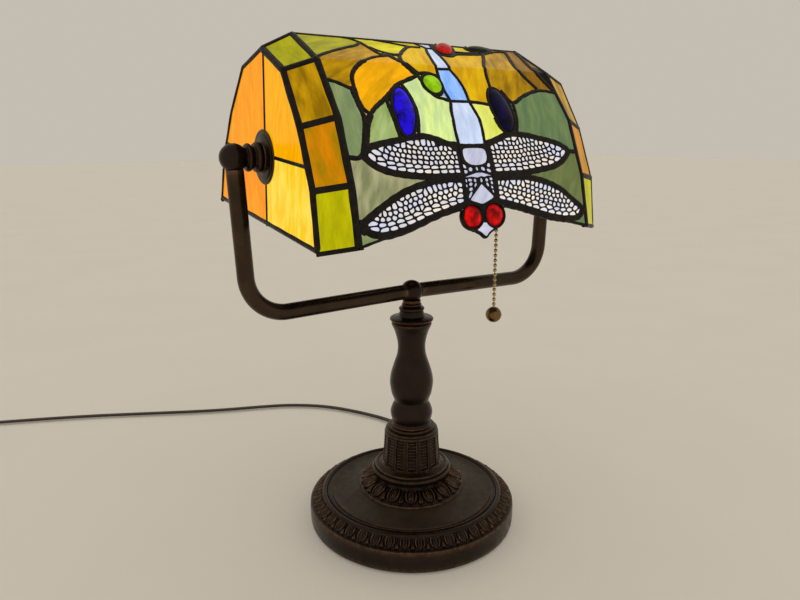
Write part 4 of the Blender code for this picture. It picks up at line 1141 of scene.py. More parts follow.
# Each wing: its leading edge and its trailing edge, from the root to the tip
WINGS = {
    "upper_left": (
        [(-12, 103), (-20, 102), (-28, 99), (-38, 97), (-50, 98), (-60, 100), (-70, 101.6),
         (-79, 104), (-85, 109)],
        [(-12, 125), (-36, 125), (-50, 124), (-66, 121.6), (-76, 118), (-82, 113.6), (-85, 109)]),
    "upper_right": (
        [(12, 102), (20, 100), (28, 97), (36, 95.4), (50, 96.4), (60, 98.4), (70, 100.4),
         (80, 103.2), (88, 108.5)],
        [(12, 125), (38, 124.8), (50, 123.4), (66, 121.4), (76, 118.4), (84, 113.4), (88, 108.5)]),
    "lower_left": (
        [(-13, 126.8), (-24, 126), (-38, 127), (-52, 130), (-62, 133.2), (-72, 138), (-80, 142.4),
         (-93, 151)],
        [(-13, 143), (-20, 145.2), (-30, 147.4), (-40, 150), (-50, 153.2), (-60, 156.2),
         (-70, 158.4), (-80, 159), (-88, 157), (-93, 151)]),
    "lower_right": (
        [(12, 126.2), (30, 126.4), (40, 126.6), (50, 128.4), (62, 131.6), (74, 137), (82, 143),
         (93, 151.6)],
        [(12, 142.6), (20, 144.8), (30, 147.2), (40, 150), (50, 153.2), (60, 156), (72, 158.4),
         (84, 159), (90, 157), (93, 151.6)]),
}

# Openings in the thorax: across, down, half length, half width, lean in degrees. They are
# cut longer and wider than listed by the two factors
BEAD_GROWTH = (1.2, 1.22)
THORAX_BEADS = [
    (-11.2, 118.2, 1.6, 1.0, 35), (-11.0, 121.9, 1.7, 1.0, -5), (-6.4, 120.4, 1.5, 1.1, -25),
    (-1.0, 120.2, 0.9, 1.1, 0), (4.1, 120.3, 1.5, 1.1, 20), (8.8, 121.6, 1.6, 1.0, 20),
    (9.6, 117.9, 1.5, 1.0, -30), (-12.0, 127.9, 0.8, 0.9, 0), (-8.7, 127.6, 1.5, 0.8, 0),
    (-4.6, 128.0, 1.0, 1.0, 0), (0.7, 128.0, 0.9, 1.2, 0), (5.2, 128.0, 1.1, 0.9, 0),
    (9.0, 127.4, 1.2, 0.8, 0), (-8.5, 130.3, 1.4, 0.9, -15), (-4.6, 131.0, 1.3, 0.7, -50),
    (5.6, 131.0, 1.3, 0.8, 50), (9.4, 130.0, 1.0, 0.8, 20), (-12.0, 131.2, 0.7, 0.8, 0),
    (-8.8, 133.6, 1.5, 0.9, -15), (9.2, 133.0, 1.0, 0.7, 40), (-9.6, 137.2, 2.2, 0.8, -52),
    (10.0, 135.9, 1.2, 0.6, 60),
]
THORAX_PANES = [
    [(-9.4, 106.6), (-6, 105.8), (6, 105.8), (9.4, 107), (10, 111.4), (8.4, 115.4), (4.4, 117.2),
     (-0.6, 117.8), (-6, 117.2), (-9.4, 114.6), (-10.2, 110.4)],
    [(0.4, 122.2), (9.0, 124.7), (10.2, 125.2), (9.0, 125.3), (6.2, 125.1), (3.3, 126),
     (1.0, 125.2), (-2.4, 126.3), (-6.7, 125.4), (-11, 125.7), (-12.4, 125.6), (-11, 125.2)],
    [(0.5, 130.4), (1.8, 131.6), (9.1, 138.3), (9.7, 139.3), (9.0, 140.1), (4.8, 141.8),
     (-0.7, 143.8), (-5.6, 142.1), (-9.5, 141), (-10, 140.2), (-9.2, 139.3), (-0.9, 131.6)],
]
THORAX_OUTLINE = [(-13.4, 104), (12.6, 104), (12.4, 126), (12, 143.4), (6, 143.2), (-0.6, 146),
                  (-6.6, 143.4), (-13.4, 143.4)]

# Ovals of thick glass: name, glass, across, down, half width, half length, lean, rise
GEMS = [
    ("gem_blue_left", BLUE, -47.2, 79.6, 6.9, 17.6, 7.7, 3.0),
    ("gem_navy_right", NAVY, 34.2, 77.0, 7.8, 17.6, 0.3, 3.0),
    ("gem_lime", LIME, -16.6, 57.4, 6.8, 7.2, 0.0, 2.4),
    ("gem_red_top", RED, 20.5, 8.6, 6.4, 11.0, 38.0, 3.2),
    ("gem_green_top", FOREST, 55.6, 3.8, 5.0, 11.6, 84.0, 2.2),
]

# Panes of the front: across, down, glass, direction of its streaks in degrees
FRONT_PANES = [
    (6, 4, LILAC, 80), (4, 25, MILK, 80), (0, 57, SKY, 85), (0, 88, MILK, 90),
    (0, 124, LILAC, 60), (-1, 161, LILAC, 20), (-75, 12, OLIVE, 25), (-66, 33, DEEP_AMBER, 30),
    (-54, 52, FLAME, 45), (-38, 10, LEMON, 25), (-20, 3, STRAW, 15), (-18, 35, AMBER, 70),
    (-36, 26.5, SOLDER, 0), (-88, 80, GREY_SAGE, 85), (-68, 92, MOSS, 60),
    (-28, 82, PALE_GREEN, 80), (-80, 126, HAZE, 70), (-91, 160, GREY_SAGE, 20),
    (22, 40, AMBER, 70), (40, 14, SOLDER, 10), (36, 5, STRAW, 10), (60, 30, DEEP_AMBER, 65),
    (78, 30, SHADY_AMBER, 75), (90, 35, SOLDER, 0), (93.6, 30, SHADY_AMBER, 90),
    (75, 2, SHADY_AMBER, 5), (17, 85, CHARTREUSE, 75), (70, 85, SAGE, 80),
    (84, 127, DULL_GREEN, 60), (90, 161, SAGE, 20), (-40, 110, WING_GLASS, 10),
    (40, 110, WING_GLASS, 10), (-40, 138, WING_GLASS, 10), (40, 138, WING_GLASS, 10),
    (-47, 80, SOLDER, 0), (34, 77, SOLDER, 0), (-16.6, 57.6, SOLDER, 0), (20.5, 9, SOLDER, 0),
    (56, 4, SOLDER, 0),
]


def oval(x, s, half_u, half_v, lean, count=14):
    """Closed outline of a leaning oval, in millimetres on the front."""
    turn = math.radians(lean)
    ring = []
    for angle in round_turn(count):
        u = half_u * math.cos(angle)
        v = half_v * math.sin(angle)
        ring.append((x + u * math.cos(turn) - v * math.sin(turn),
                     s + u * math.sin(turn) + v * math.cos(turn)))
    return ring


def gem_outline(gem, margin):
    """Closed outline of a gem, widened by a margin."""
    _, _, across, down, wide, long, lean, _ = gem
    return oval(across, down, wide + margin, long + margin, lean, 28)


def wing_outline(wing):
    leading, trailing = WINGS[wing]
    return leading + trailing[-2::-1]


BRICK = 32
BACK_ROW_LEAD = 3.4
BACK_JOINT_LEAD = 2.8
BACK_SWELL = 1.15


def back_design():
    """Plain brickwork of panes for the back: its leads and its panes."""
    leads, panes = [], []
    rows = [1.5, *(BARREL_RUN[1:4] / MM), 164]
    tints = [(OLIVE, DEEP_AMBER), (LEMON, AMBER), (PALE_GREEN, CHARTREUSE), (SAGE, MOSS)]
    for i, (top, bottom) in enumerate(zip(rows, rows[1:])):
        if i:
            leads.append((BACK_ROW_LEAD, [(-94, top), (0, top), (94, top)]))
        joints = [-3 * BRICK + BRICK * k + (BRICK // 2 if i % 2 else 0) for k in range(7)]
        joints = [x for x in joints if -90 < x < 90]
        for x in joints:
            leads.append((BACK_JOINT_LEAD, [(x, top), (x, bottom)]))
        edges = [-94] + joints + [94]
        for k, (x0, x1) in enumerate(zip(edges, edges[1:])):
            panes.append(((x0 + x1) / 2, (top + bottom) / 2, tints[i][k % 2], 75 + 5 * (k % 3)))
    return leads, panes


# ---------------------------------------------------------------- shade: making the panes

def nearest_pane(cells, kept, leads, panes):
    """Floods outwards from each pane's seed, first up to the leads and then across them."""
    rows, columns = kept.shape
    xs, ss = cells
    blocked = np.zeros(kept.shape, bool)
    for width, points in leads:
        for x, s in spline(points, 0.4):
            i0, i1 = np.searchsorted(ss, [s - width / 2, s + width / 2])
            j0, j1 = np.searchsorted(xs, [x - width / 2, x + width / 2])
            block = ((xs[None, j0:j1] - x) ** 2 + (ss[i0:i1, None] - s) ** 2) < (width * 0.42) ** 2
            blocked[i0:i1, j0:j1] |= block
    owner = np.full(kept.shape, -1)
    front = []
    for index, (x, s, _, _) in enumerate(panes):
        i = int(np.clip(np.searchsorted(ss, s), 0, rows - 1))
        j = int(np.clip(np.searchsorted(xs, x), 0, columns - 1))
        owner[i, j] = index
        front.append((i, j))
    for closed in (blocked, np.zeros(kept.shape, bool)):
        edge = front
        while edge:
            following = []
            for i, j in edge:
                for a, b in ((i + 1, j), (i - 1, j), (i, j + 1), (i, j - 1)):
                    if 0 <= a < rows and 0 <= b < columns and owner[a, b] < 0 and not closed[a, b]:
                        owner[a, b] = owner[i, j]
                        following.append((a, b))
            edge = following
        front = [tuple(cell) for cell in np.argwhere(owner >= 0)]
    return owner


STREAK_SCALE = 0.14
STREAK_SHIFT = 7.3


def paint(obj, face_pane, flat, panes):
    """Gives each face its pane's two colours and streak coordinates."""
    mesh = obj.data
    corners = np.zeros(len(mesh.loops), int)
    mesh.loops.foreach_get("vertex_index", corners)
    sizes = np.zeros(len(mesh.polygons), int)
    mesh.polygons.foreach_get("loop_total", sizes)
    pane = np.repeat(np.asarray(face_pane), sizes)
    for layer, tone in (("pane_a", 0), ("pane_b", 1)):
        table = np.array([(*linear(*p[2][tone]), 1.0) for p in panes])
        mesh.color_attributes.new(layer, "FLOAT_COLOR", "CORNER")
        mesh.color_attributes[layer].data.foreach_set("color", table[pane].ravel())
    angles = np.radians([p[3] for p in panes])[pane]
    place = np.asarray(flat)[corners] * STREAK_SCALE
    u = place[:, 0] * np.cos(angles) - place[:, 1] * np.sin(angles)
    v = place[:, 0] * np.sin(angles) + place[:, 1] * np.cos(angles)
    streak = np.stack([u, v, pane * STREAK_SHIFT], 1)
    mesh.attributes.new("streak", "FLOAT_VECTOR", "CORNER")
    mesh.attributes["streak"].data.foreach_set("vector", streak.ravel())


def slab(outer, inner, faces, owners):
    """Closes an outer and an inner skin into one solid; returns verts, faces and owners."""
    count = len(outer)
    solid = list(faces)
    solid += [tuple(count + i for i in reversed(face)) for face in faces]
    belongs = list(owners) + list(owners)
    edges = {}
    for face, owner in zip(faces, owners):
        for a, b in zip(face, face[1:] + face[:1]):
            edges[(a, b)] = owner
    for (a, b), owner in edges.items():
        if (b, a) not in edges:
            solid.append((b, a, a + count, b + count))
            belongs.append(owner)
    return np.concatenate([outer, inner]), solid, belongs


GRID = 0.8


def barrel_panes(name, side, leads, panes, outline, holes, node):
    """All panes of one long face, cut to an outline in millimetres."""
    edges_x = np.arange(-GLASS_X, GLASS_X + 0.1, GRID)
    edges_s = np.arange(GLASS_TOP, CHIN + 1.5, GRID)
    xs = edges_x[:-1] + GRID / 2
    ss = edges_s[:-1] + GRID / 2
    centres = np.stack(np.meshgrid(xs, ss), -1)
    kept = within(centres, outline)
    for x, s, radius in holes:
        kept &= np.hypot(centres[..., 0] - x, centres[..., 1] - s) > radius
    owner = nearest_pane((xs, ss), kept, leads, panes)
    grid_x, grid_s = np.meshgrid(edges_x, edges_s)
    flat = np.stack([grid_x.ravel(), grid_s.ravel(), np.zeros(grid_x.size)], 1)
    columns = len(edges_x)
    faces, owners = [], []
    for i, j in np.argwhere(kept):
        a = int(i) * columns + int(j)
        faces.append((a, a + 1, a + columns + 1, a + columns))
        owners.append(int(owner[i, j]))
    used = sorted({v for face in faces for v in face})
    place = {v: k for k, v in enumerate(used)}
    faces = [tuple(place[v] for v in face) for face in faces]
    flat = flat[used]
    x, s = flat[:, 0] * MM, flat[:, 1] * MM
    outer = on_barrel(x, s, -GLASS_SKIN, side)
    inner = on_barrel(x, s, -GLASS_SKIN - PANE_THICKNESS, side)
    verts, faces, owners = slab(outer, inner, faces, owners)
    made = piece(name, verts, faces, PANE, SHADE_BODY, "front_glass", (node,), 40.0)
    paint(made, owners, np.concatenate([flat, flat]), panes)


def on_front(points, lift):
    points = np.asarray(points, float) * MM
    return on_barrel(points[:, 0], points[:, 1], lift)


LEAD_STEP = 1.1
GEM_LEAD_HEIGHT = 2.4


def lead_line(points, width, side=-1, closed=False, height=2.1, smooth=True):
    """A solder line along the barrel, wavering a little in width, as verts and faces."""
    line = spline(points, LEAD_STEP, closed) if smooth else np.array(resample(points, LEAD_STEP))
    x, s = line[:, 0] * MM, line[:, 1] * MM
    middle = on_barrel(x, s, -GLASS / 2, side)
    above = on_barrel(x, s, GLASS / 2, side)
    out = above - middle
    out /= np.linalg.norm(out, axis=1, keepdims=True)
    run = along(middle, closed)
    across = np.cross(run, out)
    waver = 1 + 0.06 * np.sin(line[:, 0] * 0.9 + line[:, 1] * 0.7) + 0.05 * np.sin(line[:, 1] * 1.9)
    return sweep(middle, across, out, width * MM / 2 * waver, height * MM * (0.97 + 0.03 * waver),
                 12, closed)


def solder(name, chunks, nodes=()):
    """One piece of the shade's solder, from its (verts, faces) chunks."""
    piece(name, *merged(chunks), LEAD, SHADE_BODY, "lead", nodes, 60.0)


def front_leads():
    lines = [lead_line(points, SWELL * width) for width, points in FRONT_LEADS]
    lines += [lead_line(wing_outline(wing), WING_LEAD) for wing in WINGS]
    lines += [lead_line(gem_outline(gem, GEM_MARGIN), GEM_LEAD, closed=True,
                        height=GEM_LEAD_HEIGHT) for gem in GEMS]
    solder("front_leading", lines)


def cabochon(gem):
    """A domed oval that follows the fold of the face behind it."""
    name, glass, across, down, _, _, _, rise = gem
    rings = 12
    ring = np.array(gem_outline(gem, 0.0))
    count = len(ring)
    centre = np.array([across, down])
    shares = [math.sin(math.pi / 2 * i / rings) for i in range(1, rings + 1)]
    points = [centre + (ring - centre) * share for share in shares] + [ring]
    levels = [rise * math.sqrt(max(1 - share ** 2, 0)) + 0.1 for share in shares] + [-3.0]
    verts = on_front(np.concatenate(points), np.repeat(levels, count) * MM)
    top = on_front([centre], (rise + 0.1) * MM)
    low = on_front([centre], -0.0034)
    faces = grid_faces(rings + 1, count, wrap_columns=True)
    apex = len(verts)
    last = rings * count
    for j in range(count):
        after = (j + 1) % count
        faces += [(apex, j, after), (apex + 1, last + after, last + j)]
    piece(name, np.concatenate([verts, top, low]), faces, glass, SHADE_BODY, "red_glass",
          smooth=50.0)


def eye_gems():
    profile = [(EYE_RADIUS * math.cos(a), 0.0034 * math.sin(a))
               for a in np.radians(np.linspace(90, -90, 25))]
    for side, name in SIDES:
        x, s = side * EYE_X * MM, EYE_DOWN * MM
        centre = on_barrel(x, s, -GLASS / 2)
        out = Vector(on_barrel(x, s, 0.001) - on_barrel(x, s, 0.0)).normalized()
        turn = out.to_track_quat("Z", "Y").to_matrix().to_4x4()
        lathe("eye_cabochon_" + name, profile, 40, RED, ("eye_gem_" + name,), SHADE_BODY,
              "red_glass", matrix=Matrix.Translation(Vector(centre)) @ turn, smooth=60.0)


# ---------------------------------------------------------------- shade: filigree

def softened(ring, rounds=2):
    """The same closed outline with its corners cut again and again."""
    ring = np.asarray(ring, float)
    for _ in range(rounds):
        following = np.roll(ring, -1, 0)
        ring = np.stack([0.76 * ring + 0.24 * following, 0.24 * ring + 0.76 * following], 1)
        ring = ring.reshape(-1, 2)
    return [tuple(p) for p in ring]


# Openings of the wings, in millimetres: rows of them, the lowest row's distance from the
# trailing edge, the step between rows, the metal between openings and round them
SEED_ROWS = 9
FIRST_ROW = 3.7
ROW_STEP = 3.05
WIDE_ROWS = 2
WEB = 0.94
WING_BORDER = 2.6
SMALLEST_CELL = 1.8


def wing_seeds(wing, rng):
    """Middles of the openings, in rows along the trailing edge: (across, down, stretch)."""
    leading, trailing = (sorted((abs(x), s) for x, s in edge) for edge in WINGS[wing])
    side = math.copysign(1, WINGS[wing][0][1][0])
    seeds = []
    for row in range(SEED_ROWS):
        wide = row < WIDE_ROWS
        x = trailing[0][0] + 1.2 + rng.uniform(0, 1.5)
        while x < trailing[-1][0] - 4.5:
            step = rng.uniform(5.2, 7.8) if wide else rng.uniform(3.2, 4.8)
            middle = x + step / 2
            low = np.interp([middle - 1, middle, middle + 1], *zip(*trailing))
            high = float(np.interp(middle, *zip(*leading)))
            stretch = math.hypot(2, low[2] - low[0]) / 2
            s = low[1] - (FIRST_ROW + ROW_STEP * row) * stretch
            if s > high + 3.5:
                shift = rng.uniform(-0.1, 0.1) if wide else rng.uniform(-0.45, 0.45)
                seeds.append((side * middle, s + shift, 1.7 if wide else 1.15))
            x += step
    return seeds


def apart(cell, seed, seeds):
    """Cuts a seed's cell halfway to each neighbour, less half a web of metal."""
    x, s, stretch = seed
    for other_x, other_s, other_stretch in seeds:
        gap = Vector((other_x - x, other_s - s))
        if 0 < gap.length < 11:
            squeeze = ((stretch + other_stretch) / 2) ** 2
            normal = -Vector((gap.x / squeeze, gap.y)).normalized()
            cell = clip(cell, Vector((x, s)) + gap / 2 + normal * WEB / 2, normal)
    return cell


def off_edge(cell, here, outline, middle):
    """Cuts a cell back from the wing's edge by the width of its border."""
    for a, b in zip(outline, outline[1:] + outline[:1]):
        a, b = Vector(a), Vector(b)
        if min((a - here).length, (b - here).length, ((a + b) / 2 - here).length) < 9:
            run = (b - a).normalized()
            normal = Vector((-run.y, run.x))
            if normal.dot(middle - a) < 0:
                normal = -normal
            cell = clip(cell, a + normal * WING_BORDER, normal)
    return cell


def wing_cells(wing, rng):
    """Rounded openings that share out the wing, with a web of metal between them."""
    seeds = wing_seeds(wing, rng)
    outline = wing_outline(wing)
    middle = Vector(np.mean(outline, 0))
    holes = []
    for seed in seeds:
        here = Vector(seed[:2])
        cell = [here + Vector(d) for d in ((-6, -6), (6, -6), (6, 6), (-6, 6))]
        cell = off_edge(apart(cell, seed, seeds), here, outline, middle)
        if len(cell) > 2:
            xs, ss = np.array(cell).T
            area = abs(np.dot(xs, np.roll(ss, 1)) - np.dot(ss, np.roll(xs, 1))) / 2
            if area > SMALLEST_CELL:
                holes.append(softened(cell))
    return holes


PLATE_HALF = 0.3
PLATE_LIFT = 0.2


def filigree(name, outline, holes, nodes=()):
    """A pierced plate, cut flat, creased at the folds and then laid on the front."""
    curve = bpy.data.curves.new(name, "CURVE")
    curve.dimensions = "2D"
    curve.fill_mode = "BOTH"
    curve.extrude = PLATE_HALF
    for ring in [outline] + holes:
        line = curve.splines.new("POLY")
        line.points.add(len(ring) - 1)
        for target, (x, s) in zip(line.points, ring):
            target.co = (x, -s, 0.0, 1.0)
        line.use_cyclic_u = True
    flat = bpy.data.objects.new(name + "_flat", curve)
    bpy.context.scene.collection.objects.link(flat)
    bpy.context.view_layer.update()
    mesh = bpy.data.meshes.new_from_object(flat.evaluated_get(
        bpy.context.evaluated_depsgraph_get()))
    bpy.data.objects.remove(flat)
    work = bmesh.new()
    work.from_mesh(mesh)
    bpy.data.meshes.remove(mesh)
    bmesh.ops.remove_doubles(work, verts=work.verts, dist=0.002)
    for fold in BARREL_RUN[1:4] / MM:
        bmesh.ops.bisect_plane(work, geom=work.verts[:] + work.edges[:] + work.faces[:],
                               plane_co=(0, -fold, 0), plane_no=(0, 1, 0))
    work.verts.index_update()
    verts = np.array([v.co for v in work.verts])
    faces = [tuple(v.index for v in face.verts) for face in work.faces]
    work.free()
    placed = on_barrel(verts[:, 0] * MM, -verts[:, 1] * MM, (verts[:, 2] + PLATE_LIFT) * MM)
    piece(name, placed, faces, LEAD, SHADE_BODY, "lead", nodes, smooth=0)


def filigrees():
    rng = random.Random(7)
    for wing in WINGS:
        filigree("filigree_" + wing, wing_outline(wing), wing_cells(wing, rng), ("wing_" + wing,))
    longer, wider = BEAD_GROWTH
    holes = [oval(x, s, longer * long, wider * wide, lean)
             for x, s, long, wide, lean in THORAX_BEADS]
    holes += [softened(ring, 1) for ring in THORAX_PANES]
    filigree("filigree_thorax", THORAX_OUTLINE, holes)


# ---------------------------------------------------------------- shade: borders, ends and seams

def prisms(name, polygons, panes, nodes, slot):
    """Flat panes of glass: each is (outer corners, inward vector, flat coordinates)."""
    verts, faces, owners, flats = [], [], [], []
    for index, (corners, inward, flat) in enumerate(polygons):
        start = len(verts)
        count = len(corners)
        verts += [tuple(p) for p in corners] + [tuple(p + inward) for p in corners]
        flats += list(flat) + list(flat)
        faces.append(tuple(range(start, start + count)))
        faces.append(tuple(range(start + 2 * count - 1, start + count - 1, -1)))
        for i in range(count):
            j = (i + 1) % count
            faces.append((start + j, start + i, start + count + i, start + count + j))
        owners += [index] * (count + 2)
    made = piece(name, verts, faces, PANE, SHADE_BODY, slot, nodes, 30.0, matrix=SHADE)
    paint(made, owners, flats, panes)


BORDER_TINTS = (YELLOW_GREEN, BURNT, DEEP_AMBER, OLIVE, OLIVE, DEEP_AMBER, BURNT, YELLOW_GREEN)
BORDER_GAP = 0.0014


def border_panes():
    for side, name in SIDES:
        corners = [(corner(BARREL, i, s, side * BARREL_X), corner(END, i, s, side * END_X))
                   for i, s in FOLDS]
        polygons, panes = [], []
        for index, ((a, b), (c, d)) in enumerate(zip(corners, corners[1:])):
            quad = [a, b, d, c]
            middle = sum(quad, Vector()) / 4
            normal = (b - a).cross(c - a).normalized()
            if normal.dot(middle - Vector((0, SHADE_SHIFT, 0))) < 0:
                normal = -normal
            quad = [p + (middle - p).normalized() * BORDER_GAP - normal * GLASS_SKIN for p in quad]
            length = (c - a).length / MM
            width = (b - a).length / MM
            flat = [(0, 0, 0), (width, 0, 0), (width, length, 0), (0, length, 0)]
            polygons.append((quad, normal * -PANE_THICKNESS, flat))
            panes.append((0, 0, BORDER_TINTS[index], 88 + 4 * (index % 2)))
        prisms("border_panes_" + name, polygons, panes, ("border_glass_" + name,), "border_glass")


def end_corners(inset):
    """Outline of an end panel as (y, z), moved in from the end section's corners."""
    corners = [Vector((p.y, p.z)) for p in (corner(END, i, s, 0.0) for i, s in FOLDS)]
    outline = []
    count = len(corners)
    for i, here in enumerate(corners):
        into = (here - corners[i - 1]).normalized()
        out = (corners[(i + 1) % count] - here).normalized()
        normal_in = Vector((into.y, -into.x))
        normal_out = Vector((out.y, -out.x))
        bisector = (normal_in + normal_out).normalized()
        outline.append(here + bisector * inset / bisector.dot(normal_in))
    return outline


def clip(polygon, point, normal):
    """The part of a polygon on the side of a line that the normal points to."""
    kept = []
    for a, b in zip(polygon, polygon[1:] + polygon[:1]):
        da, db = (a - point).dot(normal), (b - point).dot(normal)
        if da >= 0:
            kept.append(a)
        if da * db < 0:
            kept.append(a + (b - a) * (da / (da - db)))
    return kept


# Leads across an end panel, each from one end to the other as (y, z)
END_UPRIGHT = (Vector((0.0015, 0.0668)), Vector((-0.0030, -0.046)))
END_LEVEL = (Vector((-0.0660, 0.0029)), Vector((0.0780, -0.0003)))
# Quarters of an end panel: 1 for ahead of the upright lead, 1 for above the level one, glass
END_QUARTERS = ((1, 1, GLOW_TOP), (-1, 1, GLOW_BACK), (1, -1, GLOW_LOW),
                (-1, -1, GLOW_LOW_BACK))
END_HOLE = 0.0062


def end_quarter(outline, front, above):
    """One quarter of an end panel, cut round where the tilt axis comes through."""
    upright = (END_UPRIGHT[1] - END_UPRIGHT[0]).normalized()
    level = (END_LEVEL[1] - END_LEVEL[0]).normalized()
    ahead = (Vector((-1, 0)) + upright * upright.x).normalized()
    part = clip(outline, END_UPRIGHT[0], ahead * front)
    part = clip(part, END_LEVEL[0], Vector((-level.y, level.x)) * above)
    centre = min(range(len(part)), key=lambda i: part[i].length)
    before = part[centre - 1] - part[centre]
    after = part[(centre + 1) % len(part)] - part[centre]
    start = math.atan2(before.y, before.x)
    turn = math.remainder(math.atan2(after.y, after.x) - start, 2 * math.pi)
    angles = [start + turn * k / 8 for k in range(9)]
    rounded = [part[centre] + END_HOLE * Vector((math.cos(a), math.sin(a))) for a in angles]
    return part[:centre] + rounded + part[centre + 1:]


def end_panes():
    outline = end_corners(END_GLASS_INSET)
    for side, name in SIDES:
        polygons, panes = [], []
        for front, above, tint in END_QUARTERS:
            ring = end_quarter(outline, front, above)
            corners = [Vector((side * (END_X - GLASS_SKIN), p.x, p.y)) for p in ring]
            flat = [(p.x / MM, p.y / MM, 0) for p in ring]
            polygons.append((corners, Vector((-side * PANE_THICKNESS, 0, 0)), flat))
            panes.append((0, 0, tint, 86 if front > 0 else 94))
        prisms("end_panes_" + name, polygons, panes, ("end_glass_" + name,), "amber_glass")


# Heavy leads of the shade's frame: width along the glass and height across it
SEAM_SIZE = (0.0052, 0.0038)
END_EDGE_SIZE = (0.0050, 0.0038)
UPRIGHT_SIZE = (0.0036, 0.0040)
LEVEL_SIZE = (0.0034, 0.0040)
RIDGE_SIZE = (0.0050, 0.0033)
RIM_SIZE = (0.0034, 0.0034)
RIM_CORNER_SIZE = (0.0032, 0.0032)
END_EDGE_INSET = 0.0010
END_GLASS_INSET = 0.0016


def bar_between(a, b, out, size, pieces=12):
    """A straight solder bar in the shade's frame, as verts and faces in the world."""
    points = np.array([tuple(SHADE @ a.lerp(b, i / pieces)) for i in range(pieces + 1)])
    out = np.array(SHADE.to_3x3() @ out.normalized())
    run = along(points)
    across = np.cross(run, out)
    across /= np.linalg.norm(across, axis=1, keepdims=True)
    return sweep(points, across, np.cross(across, run), size[0] / 2, size[1] / 2, 12)


def seam(points, size, closed=False):
    """A heavy rounded seam through points of the shade's frame."""
    world = np.array([tuple(SHADE @ p) for p in points])
    dense = []
    count = len(world)
    for i in range(count if closed else count - 1):
        a, b = world[i], world[(i + 1) % count]
        steps = max(2, round(float(np.linalg.norm(b - a)) / 0.002))
        dense += [a + (b - a) * k / steps for k in range(steps)]
    if not closed:
        dense.append(world[-1])
    dense = np.array(dense)
    run = along(dense, closed)
    centre = np.array(SHADE @ Vector((0, SHADE_SHIFT, -0.01)))
    out = dense - centre
    out[:, 0] *= 0.25
    out -= run * (out * run).sum(1, keepdims=True)
    out /= np.linalg.norm(out, axis=1, keepdims=True)
    across = np.cross(run, out)
    waver = 1 + 0.04 * np.sin(np.arange(len(dense)) * 0.55)
    return sweep(dense, across, out, size[0] / 2 * waver, size[1] / 2, 14, closed)


CAME_DEPTH = GLASS / 2
RIM_OUT = Vector((0, -1, 0.3))
BAR_INSET = 0.06


def side_leading():
    """Seam along each edge of the barrel, and all the leads of the border and the end."""
    for side, name in SIDES:
        edges = [corner(BARREL, i, s, side * BARREL_X, CAME_DEPTH) for i, s in FOLDS]
        tips = [corner(END, i, s, side * END_X, CAME_DEPTH) for i, s in FOLDS]
        solder("seam_" + name, [seam(edges, SEAM_SIZE)], ("came_seam_" + name,))
        x = side * (END_X - CAME_DEPTH)
        loop = [Vector((x, p.x, p.y)) for p in end_corners(END_EDGE_INSET)]
        bars = [seam(loop, END_EDGE_SIZE, closed=True)]
        for ends, size in ((END_UPRIGHT, UPRIGHT_SIZE), (END_LEVEL, LEVEL_SIZE)):
            a, b = (Vector((x, p.x, p.y)) for p in ends)
            bars.append(bar_between(a, b, Vector((side, 0, 0)), size))
        for a, b in list(zip(edges, tips))[1:-1]:
            bars.append(bar_between(a.lerp(b, BAR_INSET), b.lerp(a, BAR_INSET),
                                    a - Vector((a.x, SHADE_SHIFT, 0)), SEAM_SIZE))
        solder("end_leading_" + name, bars, ("came_end_" + name,))


def ridge_lead():
    reach = BARREL_X - 0.002
    top = BARREL[0][1] - CAME_DEPTH
    ridge = bar_between(Vector((-reach, SHADE_SHIFT, top)), Vector((reach, SHADE_SHIFT, top)),
                        Vector((0, 0, 1)), RIDGE_SIZE, pieces=80)
    solder("ridge_lead", [ridge], ("came_ridge",))


def eye_leads(side):
    """Ring round an eye's opening, the brow over it and the stub between it and the chin."""
    ring = mirrored(round_eye(EYE_RING, -round_turn(24)), side)
    brow = mirrored(round_eye(EYE_BROW, np.linspace(0.62, math.pi - 0.10, 14)), side)
    return [lead_line(ring, 2.0, closed=True, height=GEM_LEAD_HEIGHT),
            lead_line(brow, 2.0, height=1.9),
            lead_line(mirrored(CHIN_STUB, side), 2.2, height=1.9)]


def rims():
    """Lower edges of the front, with the leads round its eyes, and of the back."""
    lines = [lead_line(rim_outline(), 2.4, height=1.7)]
    for side in (-1, 1):
        edge = corner(BARREL, 4, -1, side * BARREL_X, CAME_DEPTH)
        tip = corner(END, 4, -1, side * END_X, CAME_DEPTH)
        inner = Vector((side * (BARREL_X - 0.0028), edge.y, edge.z))
        lines.append(bar_between(edge, inner, RIM_OUT, RIM_CORNER_SIZE))
        lines.append(bar_between(tip, edge, RIM_OUT, RIM_SIZE))
        lines += eye_leads(side)
    solder("front_rim", lines, ("rim_front",))
    back = [corner(section, 4, 1, x, CAME_DEPTH) for section, x in
            ((END, -END_X), (BARREL, -BARREL_X), (BARREL, BARREL_X), (END, END_X))]
    solder("back_rim", [seam(back, RIM_SIZE)], ("rim_back",))


def front_glass():
    """Panes of the front, parted where the leads, the wings' edges and the gems' rims run."""
    outline = [(-GLASS_X, GLASS_TOP), (-GLASS_X, FRONT_CORNER), *rim_outline()[1:-1],
               (GLASS_X, FRONT_CORNER), (GLASS_X, GLASS_TOP)]
    eyes = [(side * EYE_X, EYE_DOWN, EYE_OPENING) for side in (-1, 1)]
    leads = FRONT_LEADS + [(3.2, wing_outline(wing)) for wing in WINGS]
    for gem in GEMS:
        ring = gem_outline(gem, 0.9)
        leads.append((2.6, ring + ring[:1]))
    barrel_panes("front_panes", -1, leads, FRONT_PANES, outline, eyes, "front_glass")


